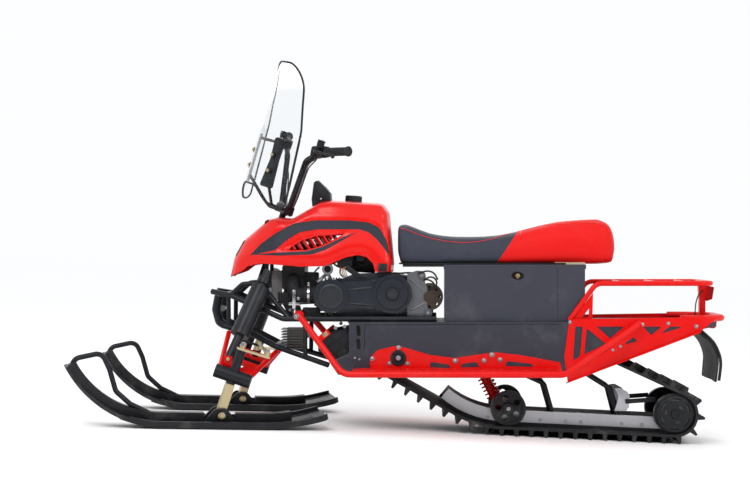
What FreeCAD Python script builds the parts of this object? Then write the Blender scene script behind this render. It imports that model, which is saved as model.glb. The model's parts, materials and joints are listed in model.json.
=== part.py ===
import FreeCAD, Part
import math
import os
from FreeCAD import Placement, Rotation, Vector

# Light utility snowmobile: one track, two skis, storage box under the seat.
# Axes: +X forward, +Y to the rider's left, +Z up. Lengths in millimetres, angles in degrees.
# Three frames are used. The chassis frame is level with the tunnel, which parks nose down.
# The ground frame lies on the floor. The steering frames have z along a raked axis.

doc = FreeCAD.newDocument("snowmobile")
os.makedirs("parts", exist_ok=True)

# Columns: name, value.
SIZES = [
    # parking pose
    ("origin_x", -14.0), ("nose_down", 2.6), ("bar_turn", 25.0), ("steer_ratio", 0.76),
    # track and its wheels
    ("track_width", 380.0), ("belt_thick", 10.0), ("lug_height", 26.0), ("lug_pitch", 58.0),
    ("lug_foot", 20.0), ("lug_crest", 9.0), ("lane_width", 26.0), ("lane_y", 95.0),
    ("rear_x", -1057.0), ("rear_wheel_r", 80.0), ("rear_wheel_w", 34.0), ("rear_wheel_y", 150.0),
    ("roller_x", -409.0), ("roller_z", 106.0), ("roller_r", 69.5), ("roller_w", 30.0),
    ("rail_curve_x", -390.0), ("rail_curve_r", 420.0),
    ("drive_x", 29.0), ("drive_z", 285.0), ("drive_r", 80.0), ("drive_w", 44.0),
    ("idler_x", -569.0), ("idler_z", 329.0), ("idler_r", 67.0), ("idler_w", 30.0),
    ("axle_d", 20.0), ("rail_y", 100.0), ("rail_w", 14.0), ("rail_high", 46.0),
    ("slider_w", 24.0), ("slider_high", 13.0), ("belt_play", 0.4),
    # tunnel and side sheets
    ("sheet", 3.0), ("tunnel_play", 25.0), ("tunnel_top", 476.0), ("tunnel_low", 269.0),
    ("tunnel_front", 272.0), ("tunnel_rear", -1215.0),
    ("foot_y", 350.0), ("foot_z", 281.0), ("foot_tube_d", 25.0), ("foot_bend", 60.0),
    ("plate_gap", 0.3),
    # frame tubes
    ("frame_y", 190.0), ("frame_d", 22.0), ("cross_d", 20.0), ("post_d", 18.0), ("tower_y", 150.0), ("bumper_d", 34.0),
    ("bumper_y", 90.0), ("bar_y", 120.0),
    # rack, tail
    ("rack_y", 201.5), ("rack_d", 20.0), ("rack_z", 626.0), ("rack_rear", -1203.0),
    ("tail_tube_d", 26.0), ("tail_tube_z", 489.3), ("tail_rear", -1254.0), ("hitch_d", 16.0),
    ("hitch_drop", 29.0), ("hitch_thick", 12.0),
    # storage box and seat
    ("box_front", -165.0), ("box_rear", -712.0), ("box_top", 690.0),
    ("box_y", 190.0), ("box_wall", 5.0), ("seat_y", 158.0), ("seat_base", 10.0),
    ("hinge_d", 12.0), ("hinge_out", 1.0), ("hinge_drop", 7.0), ("hinge_long", 40.0),
    ("lid_gap", 0.5),
    # fairing
    ("hood_wall", 3.0), ("hood_low", 640.0), ("hood_taper", 14.0), ("hood_y", 215.0),
    ("hood_nose_y", 150.0), ("hood_rear_y", 180.0), ("hood_round", 28.0),
    # steering column and bar
    ("rake", 19.0), ("column_x", 486.0), ("column_z", 897.0), ("column_d", 26.0),
    ("bar_d", 22.0), ("bar_half", 356.0), ("grip_d", 34.0), ("grip_long", 128.0), ("lever_d", 10.0),
    ("screen_thick", 4.0), ("screen_curve", 300.0), ("screen_ahead", 178.0), ("screen_lean", 2.4),
    ("stay_d", 12.0),
    # kingpins, arms, tie rods
    ("king_x", 646.0), ("king_z", 276.0), ("king_y", 370.0), ("king_d", 20.0),
    ("king_play", 0.3), ("housing_d", 36.0), ("bush_d", 53.0), ("bush_long", 144.0),
    ("arm_level", 104.0), ("arm_long", 100.0), ("arm_thick", 8.0), ("rod_d", 14.0),
    ("eye_half", 8.0), ("rod_end_d", 26.0), ("leg_side", 33.0),
    # struts
    ("strut_cover_d", 74.0), ("strut_top_r", 18.0), ("strut_rod_d", 36.0),
    # skis
    ("pivot_drop", 154.3), ("ski_pivot_z", 50.0), ("ski_trim", -0.85), ("ski_width", 170.0),
    ("ski_tip_y", 22.0),
    ("ski_tail", -415.0), ("ski_flat", 235.0), ("ski_bend", 430.0), ("ski_tail_bend", 880.0), ("ski_heel", -150.0),
    ("keel_high", 11.0), ("ski_sheet", 12.0), ("loop_d", 20.0), ("pivot_d", 16.0),
    ("leg_below", 14.0),
    # engine
    ("engine_y", 170.0),
]

sheet = doc.addObject("Spreadsheet::Sheet", "sizes")
for row, (name, value) in enumerate(SIZES, start=1):
    sheet.set(f"A{row}", name)
    sheet.set(f"B{row}", str(value))
    sheet.setAlias(f"B{row}", name)
doc.recompute()


def size(name):
    """Value of one cell of the sheet."""
    return float(getattr(sheet, name))


def turn_y(degrees):
    """Rotation about +Y: positive is nose down."""
    return Rotation(Vector(0, 1, 0), degrees)


def turn_z(degrees):
    """Rotation about +Z: positive is to the left."""
    return Rotation(Vector(0, 0, 1), degrees)


# Places of the frames.
GROUND = Placement(Vector(size("origin_x"), 0, 0), Rotation())
TAIL_POINT = Vector(size("rear_x"), 0, 0)
CHASSIS = GROUND * Placement(Vector(), turn_y(size("nose_down")), TAIL_POINT)
SKI_TURN = size("bar_turn") * size("steer_ratio")


def steering_frame(x, y, z, angle):
    """Frame on a raked steering axis, turned by an angle to the left."""
    rake = Placement(Vector(x, y, z), turn_y(-size("rake")))
    return CHASSIS * rake * Placement(Vector(), turn_z(angle))


STEERING = steering_frame(size("column_x"), 0, size("column_z"), size("bar_turn"))
SIDES = [("left", 1), ("right", -1)]
pieces = []


def tunnel_half():
    """Half of the tunnel's outside width, which follows the track's."""
    return size("track_width") / 2 + size("tunnel_play")


def keep(obj, label, place):
    """Name a finished sub-part and put it in its place."""
    obj.Label = label
    obj.Placement = place * obj.Placement
    pieces.append(obj)
    return obj


def plane_of(body, role):
    return [item for item in body.Origin.OriginFeatures if item.Role == role][0]


def outline_edges(points):
    """Closed outline of lines and tangent arcs. Columns of a point: x, z, corner radius."""
    corners = []
    count = len(points)
    for index, (x, z, radius) in enumerate(points):
        here = Vector(x, z, 0)
        if radius == 0:
            corners.append((here, None, here))
            continue
        back = Vector(*points[index - 1][:2], 0) - here
        ahead = Vector(*points[(index + 1) % count][:2], 0) - here
        back.normalize()
        ahead.normalize()
        half = back.getAngle(ahead) / 2
        cut = radius / math.tan(half)
        middle = (back + ahead).normalize() * (radius / math.sin(half) - radius)
        corners.append((here + back * cut, here + middle, here + ahead * cut))
    edges = []
    for index, (start, middle, end) in enumerate(corners):
        if middle is not None:
            edges.append(Part.Arc(start, middle, end))
        after = corners[(index + 1) % count][0]
        if end.distanceToPoint(after) > 1e-6:
            edges.append(Part.LineSegment(end, after))
    return edges


def add_sketch(body, name, role, edges, offset=None):
    """Sketch on an origin plane of its own body, moved along the plane's normal."""
    sketch = body.newObject("Sketcher::SketchObject", name)
    sketch.AttachmentSupport = (plane_of(body, role), "")
    sketch.MapMode = "FlatFace"
    if offset is not None:
        sketch.setExpression("AttachmentOffset.Base.z", offset)
    sketch.addGeometry(edges, False)
    return sketch


def circle_edge(x, z, radius):
    return Part.Circle(Vector(x, z, 0), Vector(0, 0, 1), radius)


def side_pad(name, points, width, offset=None, holes=(), middle=True):
    """Body: a side outline padded across the vehicle. The XZ plane's normal is -Y."""
    body = doc.addObject("PartDesign::Body", name)
    edges = outline_edges(points)
    for hole in holes:
        edges = edges + (outline_edges(hole) if len(hole[0]) == 3 and len(hole) > 1
                         else [circle_edge(*hole[0])])
    sketch = add_sketch(body, name + "_outline", "XZ_Plane", edges, offset)
    pad = body.newObject("PartDesign::Pad", name + "_pad")
    pad.Profile = sketch
    pad.setExpression("Length", width)
    pad.Midplane = middle
    return body


def bend_path(points, radius):
    """Wire of straight runs joined by tangent arcs. A radius of 0 leaves a plain corner."""
    edges = []
    last = points[0]
    for index in range(1, len(points) - 1):
        here = points[index]
        back = (points[index - 1] - here).normalize()
        ahead = (points[index + 1] - here).normalize()
        half = back.getAngle(ahead) / 2
        cut = radius / math.tan(half)
        middle = here + (back + ahead).normalize() * (radius / math.sin(half) - radius)
        edges.append(Part.LineSegment(last, here + back * cut).toShape())
        edges.append(Part.Arc(here + back * cut, middle, here + ahead * cut).toShape())
        last = here + ahead * cut
    edges.append(Part.LineSegment(last, points[-1]).toShape())
    return Part.Wire(edges)


def tube(name, points, diameter, bend=40.0):
    """Round bar or tube along a bent path, as a sweep. The diameter is a cell's name."""
    places = [Vector(*point) for point in points]
    spine = doc.addObject("Part::Feature", name + "_path")
    spine.Shape = bend_path(places, bend)
    ring = doc.addObject("Part::Circle", name + "_ring")
    ring.setExpression("Radius", f"sizes.{diameter} / 2")
    ring.Placement = Placement(places[0], Rotation(Vector(0, 0, 1), places[1] - places[0]))
    sweep = doc.addObject("Part::Sweep", name)
    sweep.Sections = [ring]
    sweep.Spine = (spine, [])
    sweep.Solid = True
    sweep.Frenet = False
    return sweep


def rod(name, start, end, radius):
    """Cylinder between two points. The radius is an expression."""
    start = Vector(*start)
    end = Vector(*end)
    body = doc.addObject("Part::Cylinder", name)
    body.setExpression("Radius", radius)
    body.Height = start.distanceToPoint(end)
    body.Placement = Placement(start, Rotation(Vector(0, 0, 1), end - start))
    return body


def block(name, corner, lengths):
    """Box from its low corner. Lengths are numbers, taken from the sheet by the caller."""
    box = doc.addObject("Part::Box", name)
    box.Length = lengths[0]
    box.Width = lengths[1]
    box.Height = lengths[2]
    box.Placement = Placement(Vector(*corner), Rotation())
    return box


def fuse(name, shapes):
    joined = doc.addObject("Part::MultiFuse", name)
    joined.Shapes = shapes
    joined.Refine = True
    return joined


def cut(name, base, tool):
    result = doc.addObject("Part::Cut", name)
    result.Base = base
    result.Tool = tool
    return result


def common(name, shapes):
    result = doc.addObject("Part::MultiCommon", name)
    result.Shapes = shapes
    return result


def mirror(name, source):
    """Copy on the other side of the vehicle's middle plane."""
    other = doc.addObject("Part::Mirroring", name)
    other.Source = source
    other.Normal = Vector(0, 1, 0)
    other.Base = Vector(0, 0, 0)
    return other


def mirrored_points(points):
    return [(x, -y, z) for x, y, z in points]


# Track loop: circles that the belt runs round, from the rear wheel along the ground.
def loop_circles(extra):
    flat = size("belt_thick") + size("lug_height")
    rear_z = flat + size("rear_wheel_r")
    curve_z = flat + size("rail_curve_r")
    rows = [(size("rear_x"), rear_z, size("rear_wheel_r")),
            (size("rail_curve_x"), curve_z, size("rail_curve_r")),
            (size("drive_x"), size("drive_z"), size("drive_r")),
            (size("idler_x"), size("idler_z"), size("idler_r"))]
    return [(x, z, radius + extra) for x, z, radius in rows]


def loop_spans(extra):
    """Tangent points of the loop: for each circle its centre, radius, arrival and leaving."""
    circles = loop_circles(extra)
    count = len(circles)
    leaving = []
    arriving = [None] * count
    for index, (x, z, radius) in enumerate(circles):
        other_x, other_z, other_r = circles[(index + 1) % count]
        along = math.atan2(other_z - z, other_x - x)
        distance = math.hypot(other_x - x, other_z - z)
        normal = along - math.acos((radius - other_r) / distance)
        leaving.append(normal)
        arriving[(index + 1) % count] = normal
    return [(x, z, radius, arriving[index], leaving[index])
            for index, (x, z, radius) in enumerate(circles)]


def loop_point(x, z, radius, angle):
    return Vector(x + radius * math.cos(angle), 0, z + radius * math.sin(angle))


def loop_face(extra):
    """Face inside the loop, out to a distance beyond the belt's inner line."""
    edges = []
    spans = loop_spans(extra)
    for index, (x, z, radius, start, end) in enumerate(spans):
        sweep = (end - start) % (2 * math.pi)
        first = loop_point(x, z, radius, start)
        middle = loop_point(x, z, radius, start + sweep / 2)
        last = loop_point(x, z, radius, end)
        edges.append(Part.Arc(first, middle, last).toShape())
        after = spans[(index + 1) % len(spans)]
        start_next = loop_point(after[0], after[1], after[2], after[3])
        edges.append(Part.LineSegment(last, start_next).toShape())
    return Part.Face(Part.Wire(edges))


def loop_stations(pitch):
    """Evenly spaced places on the belt's outer line, with the outward direction."""
    outer = size("belt_thick")
    spans = loop_spans(outer)
    runs = []
    for index, (x, z, radius, start, end) in enumerate(spans):
        sweep = (end - start) % (2 * math.pi)
        runs.append(("arc", radius * sweep, (x, z, radius, start)))
        after = spans[(index + 1) % len(spans)]
        first = loop_point(x, z, radius, end)
        last = loop_point(after[0], after[1], after[2], after[3])
        runs.append(("line", first.distanceToPoint(last), (first, last, end)))
    total = sum(length for _, length, _ in runs)
    number = round(total / pitch)
    stations = []
    for step in range(number):
        travel = step * total / number
        for kind, length, data in runs:
            if travel > length:
                travel -= length
                continue
            if kind == "arc":
                x, z, radius, start = data
                angle = start + travel / radius
                stations.append((loop_point(x, z, radius, angle), angle))
            else:
                first, last, angle = data
                place = first + (last - first) * (travel / length)
                stations.append((place, angle))
            break
    return stations


def make_track():
    width = size("track_width")
    outside = loop_face(size("belt_thick")).extrude(Vector(0, width, 0))
    inside = loop_face(0).extrude(Vector(0, width, 0))
    belt = outside.cut(inside)
    belt.translate(Vector(0, -width / 2, 0))
    sunk = 1.0
    foot = size("lug_foot") / 2
    crest = size("lug_crest") / 2
    high = size("lug_height")
    profile = [Vector(-sunk, 0, -foot), Vector(0, 0, -foot), Vector(high, 0, -crest),
               Vector(high, 0, crest), Vector(0, 0, foot), Vector(-sunk, 0, foot)]
    lane = size("lane_width") / 2
    lane_y = size("lane_y")
    bands = [(-width / 2, -lane_y - lane), (-lane_y + lane, lane_y - lane),
             (lane_y + lane, width / 2)]
    lugs = []
    for place, angle in loop_stations(size("lug_pitch")):
        for low, top in bands:
            face = Part.Face(Part.makePolygon(profile + [profile[0]]))
            lug = face.extrude(Vector(0, top - low, 0))
            lug.translate(Vector(0, low, 0))
            lug.rotate(Vector(0, 0, 0), Vector(0, 1, 0), -math.degrees(angle))
            lug.translate(place)
            lugs.append(lug)
    track = doc.addObject("Part::Feature", "track")
    track.Shape = belt.fuse(lugs)
    keep(track, "track", GROUND)


def wheel(name, x, z, radius, width, bore, y):
    """Rubber-rimmed wheel with a dished disc and five lobes cut out, by its values."""
    body = doc.addObject("PartDesign::Body", name)
    half = width / 2
    rim = radius * 0.16
    hub = radius * 0.30
    dish = half * 0.45
    section = [(bore, -half, 0), (hub, -half, 0), (hub, -dish, 0), (radius - rim, -dish, 0),
               (radius - rim, -half, 0), (radius, -half, 2), (radius, half, 2),
               (radius - rim, half, 0), (radius - rim, dish, 0), (hub, dish, 0),
               (hub, half, 0), (bore, half, 0)]
    sketch = add_sketch(body, name + "_section", "XY_Plane", outline_edges(section))
    turned = body.newObject("PartDesign::Revolution", name + "_turned")
    turned.Profile = sketch
    turned.ReferenceAxis = (sketch, ["V_Axis"])
    turned.Angle = 360
    holes = body.newObject("Sketcher::SketchObject", name + "_window")
    holes.AttachmentSupport = (plane_of(body, "XZ_Plane"), "")
    holes.MapMode = "FlatFace"
    window_r = (radius - rim - hub) * 0.34
    holes.addGeometry([circle_edge((radius - rim + hub) / 2, 0, window_r)], False)
    doc.recompute()
    window = body.newObject("PartDesign::Pocket", name + "_windows")
    window.Profile = holes
    window.Midplane = True
    window.Type = 0
    window.Length = width * 2
    pattern = body.newObject("PartDesign::PolarPattern", name + "_five")
    pattern.Originals = [window]
    pattern.Axis = (sketch, ["V_Axis"])
    pattern.Angle = 360
    pattern.Occurrences = 5
    body.Tip = pattern
    body.Placement = Placement(Vector(x, y, z), Rotation())
    return body


def make_wheels():
    """Rear wheels, front rollers and upper idlers in pairs, each pair with its axle."""
    flat = size("belt_thick") + size("lug_height")
    play = size("belt_play")
    rear_z = flat + size("rear_wheel_r")
    rows = [("rear_wheels", size("rear_x"), rear_z, size("rear_wheel_r") - play,
             size("rear_wheel_w"), size("rear_wheel_y")),
            ("front_rollers", size("roller_x"), size("roller_z"), size("roller_r") - play,
             size("roller_w"), size("rear_wheel_y")),
            ("upper_idlers", size("idler_x"), size("idler_z"), size("idler_r") - play,
             size("idler_w"), size("rear_wheel_y"))]
    for label, x, z, radius, width, y in rows:
        left = wheel(label + "_left", x, z, radius, width, size("axle_d") / 2, y)
        right = wheel(label + "_right", x, z, radius, width, size("axle_d") / 2, -y)
        reach = y + width / 2 + 8
        if label == "upper_idlers":
            reach = tunnel_half() - size("sheet")
        axle = rod(label + "_axle", (x, -reach, z), (x, reach, z), "sizes.axle_d / 2")
        keep(fuse(label, [left, right, axle]), label, GROUND)
    x = size("drive_x")
    z = size("drive_z")
    radius = size("drive_r") - play
    parts = []
    for index, y in enumerate((-size("lane_y"), size("lane_y"))):
        parts.append(wheel(f"drive_{index}", x, z, radius, size("drive_w"), size("axle_d") / 2, y))
    reach = tunnel_half() - size("sheet")
    parts.append(rod("drive_axle", (x, -reach, z), (x, reach, z), "sizes.axle_d / 2"))
    keep(fuse("drive_wheels", parts), "drive_wheels", GROUND)


def make_slide_rails():
    flat = size("belt_thick") + size("lug_height")
    play = size("belt_play")
    curve_x = size("rail_curve_x")
    curve_r = size("rail_curve_r")
    centre_z = flat + curve_r
    rear = size("rear_x")

    def band(low, high, end_angle, rear_x):
        """Outline of a strip that follows the belt's inner line at two heights."""
        edges = []
        angle = math.radians(end_angle)
        middle = angle / 2

        def on_curve(height, turn):
            reach = curve_r - height
            return Vector(curve_x + reach * math.sin(turn), 0, centre_z - reach * math.cos(turn))
        edges.append(Part.LineSegment(Vector(rear_x, 0, flat + low), on_curve(low, 0)).toShape())
        edges.append(Part.Arc(on_curve(low, 0), on_curve(low, middle), on_curve(low, angle)).toShape())
        edges.append(Part.LineSegment(on_curve(low, angle), on_curve(high, angle)).toShape())
        edges.append(Part.Arc(on_curve(high, angle), on_curve(high, middle), on_curve(high, 0)).toShape())
        edges.append(Part.LineSegment(on_curve(high, 0), Vector(rear_x, 0, flat + high)).toShape())
        edges.append(Part.LineSegment(Vector(rear_x, 0, flat + high),
                                      Vector(rear_x, 0, flat + low)).toShape())
        return Part.Face(Part.Wire(edges))

    low = size("slider_high")
    high = low + size("rail_high")
    rail_w = size("rail_w")
    slider_w = size("slider_w")
    arc_end = 37.0
    solids = []
    strips = []
    for _, side in SIDES:
        y = side * size("rail_y")
        rail = band(low, high, arc_end, rear - 30).extrude(Vector(0, rail_w, 0))
        rail.translate(Vector(0, y - rail_w / 2, 0))
        bore = Part.makeCylinder(size("axle_d") / 2, rail_w * 3,
                                 Vector(rear, y - rail_w * 1.5, flat + size("rear_wheel_r")),
                                 Vector(0, 1, 0))
        ear = Part.makeCylinder(26, rail_w, Vector(rear, y - rail_w / 2, flat + size("rear_wheel_r")),
                                Vector(0, 1, 0))
        front_ear = Part.makeCylinder(20, rail_w, Vector(size("roller_x"), y - rail_w / 2,
                                                         size("roller_z")), Vector(0, 1, 0))
        front_bore = Part.makeCylinder(size("axle_d") / 2, rail_w * 3,
                                       Vector(size("roller_x"), y - rail_w * 1.5,
                                              size("roller_z")), Vector(0, 1, 0))
        web = Part.makeBox(60, rail_w, 40, Vector(rear - 30, y - rail_w / 2, flat + low + 20))
        rail = rail.fuse([ear, web, front_ear]).cut(bore).cut(front_bore)
        solids.append(rail)
        strip = band(play, low, arc_end, rear + 50).extrude(Vector(0, slider_w, 0))
        strip.translate(Vector(0, y - slider_w / 2, 0))
        strips.append(strip)
    cross = rod("rail_cross", (-700, -size("rail_y") + rail_w / 2, flat + low + 23),
                (-700, size("rail_y") - rail_w / 2, flat + low + 23), "sizes.axle_d / 2")
    rails = doc.addObject("Part::Feature", "rail_bars")
    rails.Shape = Part.makeCompound(solids)
    keep(fuse("slide_rails", [rails, cross]), "slide_rails", GROUND)
    sliders = doc.addObject("Part::Feature", "sliders")
    sliders.Shape = Part.makeCompound(strips)
    keep(sliders, "sliders", GROUND)


def make_skid_arms():
    """Front and rear swing arms between the tunnel and the rails."""
    inner = size("rail_y") - size("rail_w") / 2 - size("plate_gap")
    wide = tunnel_half() - size("sheet")
    flat = size("belt_thick") + size("lug_height")
    rail_mid = flat + size("slider_high") + size("rail_high") / 2
    # Columns: label, tunnel pivot x, z, elbow x, z, rail pivot x, z.
    rows = [("front_arm", -330.0, 292.0, -548.0, 205.0, -592.0, rail_mid),
            ("rear_arm", -672.0, 275.0, -812.0, 196.0, -850.0, rail_mid)]
    for label, top_x, top_z, elbow_x, elbow_z, low_x, low_z in rows:
        shapes = []
        for side_name, side in SIDES:
            y = side * (inner - 10)
            shapes.append(tube(f"{label}_{side_name}",
                               [(top_x, y, top_z), (elbow_x, y, elbow_z), (low_x, y, low_z)],
                               "axle_d", 25))
        shapes.append(rod(label + "_top", (top_x, -wide, top_z), (top_x, wide, top_z),
                          "sizes.axle_d / 2 + 4"))
        shapes.append(rod(label + "_low", (low_x, -inner, low_z), (low_x, inner, low_z),
                          "sizes.axle_d / 2 + 4"))
        keep(fuse(label, shapes), label, GROUND)
    shock = [rod("shock_spring", (-275, 0, 286), (-386, 0, 85), "18"),
             rod("shock_top", (-272, -wide, 292), (-272, wide, 292), "8"),
             rod("shock_low", (-390, -inner, 78), (-390, inner, 78), "8")]
    keep(fuse("skid_shock", shock), "skid_shock", GROUND)


def make_tunnel():
    top = size("tunnel_top")
    low = size("tunnel_low")
    front = size("tunnel_front")
    rear = size("tunnel_rear")
    wall = size("sheet")
    outline = [(front - 63, top, 0), (rear, top, 0), (rear, top - 16, 0), (-1160, 448, 0),
               (-640, low, 0), (front - 21, low, 8), (front + 13, low + 48, 8),
               (front - 63, low + 76, 8)]
    inner = [(front - 66, top - wall, 0), (rear - 50, top - wall, 0), (rear - 50, low - 50, 0),
             (front - 26, low - 50, 0), (front - 26, low, 0), (front + 7, low + 46, 5),
             (front - 66, low + 72, 5)]
    body = side_pad("tunnel", outline, "(sizes.track_width / 2 + sizes.tunnel_play) * 2")
    sketch = add_sketch(body, "tunnel_inside", "XZ_Plane", outline_edges(inner))
    doc.recompute()
    inside = body.newObject("PartDesign::Pocket", "tunnel_pocket")
    inside.Profile = sketch
    inside.Midplane = True
    inside.Type = 0
    inside.setExpression("Length", "((sizes.track_width / 2 + sizes.tunnel_play) - sizes.sheet) * 2")
    body.Tip = inside
    keep(body, "tunnel", CHASSIS)


def make_footboards():
    """Red side sheet with the drive bearing, footboard and outer foot tube."""
    gap = size("plate_gap")
    drive_x = 15.0
    drive_z = 334.0
    low = size("tunnel_low") + 1
    outline = [(124, low + 7, 6), (128, 336, 10), (96, 367, 20), (19, 385, 30),
               (-106, 348, 40), (-203, 336, 30), (-359, 359, 30), (-457, 348, 30),
               (-612, 320, 6), (-625, low, 4)]
    bore = [(drive_x, drive_z, 26)]
    floor_z = size("foot_z") + size("foot_tube_d") / 2
    side = tunnel_half()
    foot_y = size("foot_y")
    for side_name, sign in SIDES:
        sheet_body = side_pad(f"sill_{side_name}", outline, "sizes.sheet", holes=[bore])
        sheet_body.Placement = Placement(Vector(0, sign * (side + gap + size("sheet") / 2), 0),
                                         Rotation())
        y_low = side + gap
        floor = block(f"floor_{side_name}", (-600, y_low if sign > 0 else -foot_y - 2, floor_z),
                      (790, foot_y + 2 - y_low, size("sheet")))
        teeth = []
        for row in range(3):
            y = sign * (side + 38 + 38 * row)
            for column in range(13):
                hole = Part.makeCylinder(12, 20, Vector(-570 + 60 * column, y, floor_z - 5))
                teeth.append(hole)
        holes = doc.addObject("Part::Feature", f"floor_holes_{side_name}")
        holes.Shape = Part.makeCompound(teeth)
        floor_cut = cut(f"floor_cut_{side_name}", floor, holes)
        keep(fuse(f"footboard_{side_name}", [sheet_body, floor_cut]),
             f"footboard_{side_name}", CHASSIS)
        front_y = size("frame_y") + size("frame_d") / 2 + gap
        points = [(407, sign * (front_y + size("foot_tube_d") / 2), 506),
                  (227, sign * foot_y, size("foot_z")), (-622, sign * foot_y, size("foot_z")),
                  (-919, sign * 250, 472)]
        keep(tube(f"foot_tube_{side_name}", points, "foot_tube_d", size("foot_bend")),
             f"foot_tube_{side_name}", CHASSIS)


def make_tail_plates():
    """Red truss plates beside the rear of the tunnel, with triangular windows."""
    gap = size("plate_gap")
    outline = [(-649, 488, 4), (-1190, 496, 4), (-1220, 492, 4), (-1155, 439, 4),
               (-642, 240, 6), (-629, 344, 4)]
    windows = [[(-753, 459, 3), (-862, 459, 3), (-807, 412, 3)],
               [(-932, 459, 3), (-1006, 459, 3), (-965, 425, 3)],
               [(-996, 429, 3), (-1037, 459, 3), (-1095, 459, 3)],
               [(-852, 387, 3), (-897, 418, 3), (-912, 402, 3)],
               [(-672, 459, 3), (-700, 459, 3), (-690, 345, 3), (-662, 325, 3)],
               [(-716, 452, 3), (-790, 392, 3), (-706, 350, 3)]]
    for side_name, sign in SIDES:
        plate = side_pad(f"truss_{side_name}", outline, "sizes.sheet", holes=windows)
        side = tunnel_half() + gap + size("sheet") / 2
        plate.Placement = Placement(Vector(0, sign * side, 0), Rotation())
        keep(plate, f"tail_plate_{side_name}", CHASSIS)


def strut_ends(sign):
    """Upper and lower end of a strut's axis."""
    return (517, sign * 165, 699), (667, sign * 322, 339)


def make_frame():
    """Welded front frame: side tubes, strut towers, lower bars and cross members."""
    y = size("frame_y")
    tower = size("tower_y")
    bar_y = size("bar_y")
    rail_z = size("tunnel_top") + size("plate_gap") + size("frame_d") / 2
    shapes = []
    for side_name, sign in SIDES:
        top = [(760, sign * size("bumper_y"), 592), (676, sign * 140, 577),
               (469, sign * y, rail_z), (-133, sign * y, rail_z)]
        shapes.append(tube(f"top_tube_{side_name}", top, "frame_d", 50))
        brace = [(676, sign * 140, 582), (633, sign * 145, 622), (571, sign * tower, 627),
                 (540, sign * tower, 595), (443, sign * y, rail_z)]
        shapes.append(tube(f"tower_tube_{side_name}", brace, "cross_d", 20))
        lower = [(712, sign * bar_y, 457), (600, sign * bar_y, 425), (502, sign * bar_y, 374),
                 (290, sign * y, 306)]
        shapes.append(tube(f"lower_bar_{side_name}", lower, "frame_d", 60))
        shapes.append(rod(f"upright_{side_name}", (383, sign * y, 483), (383, sign * 163, 338),
                          "sizes.post_d / 2"))
        shapes.append(rod(f"front_post_{side_name}", (690, sign * bar_y, 451),
                          (690, sign * 134, 580), "sizes.post_d / 2"))
        top = Vector(*strut_ends(sign)[0])
        along = Vector(*strut_ends(sign)[1]) - top
        first = top + along * 0.15
        last = top + along * 0.21
        ring = rod(f"collar_{side_name}", first, last, "26")
        hole = rod(f"collar_hole_{side_name}", top, top + along * 0.4,
                   "sizes.strut_top_r + sizes.plate_gap")
        link = block(f"collar_link_{side_name}", (540, tower if sign > 0 else -176, 612),
                     (26, 26, 16))
        shapes.append(cut(f"collar_ring_{side_name}", fuse(f"collar_all_{side_name}",
                                                          [ring, link]), hole))
    clear = hood_form("hood_clear", size("hood_wall") + size("plate_gap"))
    for side_name, sign in SIDES:
        stay = rod(f"stay_{side_name}", (540, sign * 110, size("hood_low") + 5),
                   (540, sign * 110, 900), "8")
        shapes.append(common(f"stay_cut_{side_name}", [stay, clear]))
        shapes.append(rod(f"stay_foot_{side_name}", (540, sign * 110, 595),
                          (540, sign * 110, size("hood_low") + 20), "9"))
    for name, x, z, reach in [("nose_cross", 700, 581, 128), ("tower_cross", 540, 595, tower),
                              ("front_cross", 700, 453.6, bar_y), ("low_cross", 505, 375.6, bar_y),
                              ("cooler_cross", 383, 415, 176),
                              ("engine_cross", 300, rail_z, y), ("rear_cross", -100, rail_z, y)]:
        shapes.append(rod(name, (x, -reach, z), (x, reach, z), "sizes.cross_d / 2"))
    rake = Placement(Vector(size("column_x"), 0, size("column_z")), turn_y(-size("rake")))
    # Column bearings: place up the column, reach of the link ahead of it, link height.
    for name, low, back, ahead in [("high", -330, -52, -14), ("low", -488, 14, 58)]:
        ring = doc.addObject("Part::Cylinder", f"bearing_{name}")
        ring.setExpression("Radius", "sizes.column_d / 2 + 8")
        ring.Height = 30
        link = block(f"bearing_link_{name}", (back, -14, 6), (ahead - back, 28, 18))
        joined = fuse(f"bearing_all_{name}", [ring, link])
        hole = doc.addObject("Part::Cylinder", f"bearing_hole_{name}")
        hole.setExpression("Radius", "sizes.column_d / 2 + sizes.king_play")
        hole.Height = 60
        hole.Placement = Placement(Vector(0, 0, -10), Rotation())
        bearing = cut(f"bearing_cut_{name}", joined, hole)
        bearing.Placement = rake * Placement(Vector(0, 0, low), Rotation())
        shapes.append(bearing)
    stand = side_pad("shaft_stand", [(-118, 484, 0), (-88, 484, 0), (-88, 600, 12), (-126, 600, 16)],
                     "6", holes=[[(-105, 573, 12.3)]])
    stand.Placement = Placement(Vector(0, 130, 0), Rotation())
    shapes.append(stand)
    welded = fuse("frame_all", shapes)
    welded.Refine = False
    keep(welded, "frame", CHASSIS)


def make_bumper():
    y = size("bumper_y")
    shapes = []
    seat = size("cross_d") / 2 + size("plate_gap")
    for side_name, sign in SIDES:
        hoop = [(734, sign * y, 575), (744, sign * y, 520), (731, sign * y, 471),
                (700 + 0.875 * seat, sign * y, 453.6 + 0.485 * seat)]
        shapes.append(tube(f"hoop_{side_name}", hoop, "bumper_d", 20))
    shapes.append(rod("bumper_cross", (743, -y, 520), (743, y, 520), "sizes.bumper_d / 2"))
    keep(fuse("front_bumper", shapes), "front_bumper", CHASSIS)


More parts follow.
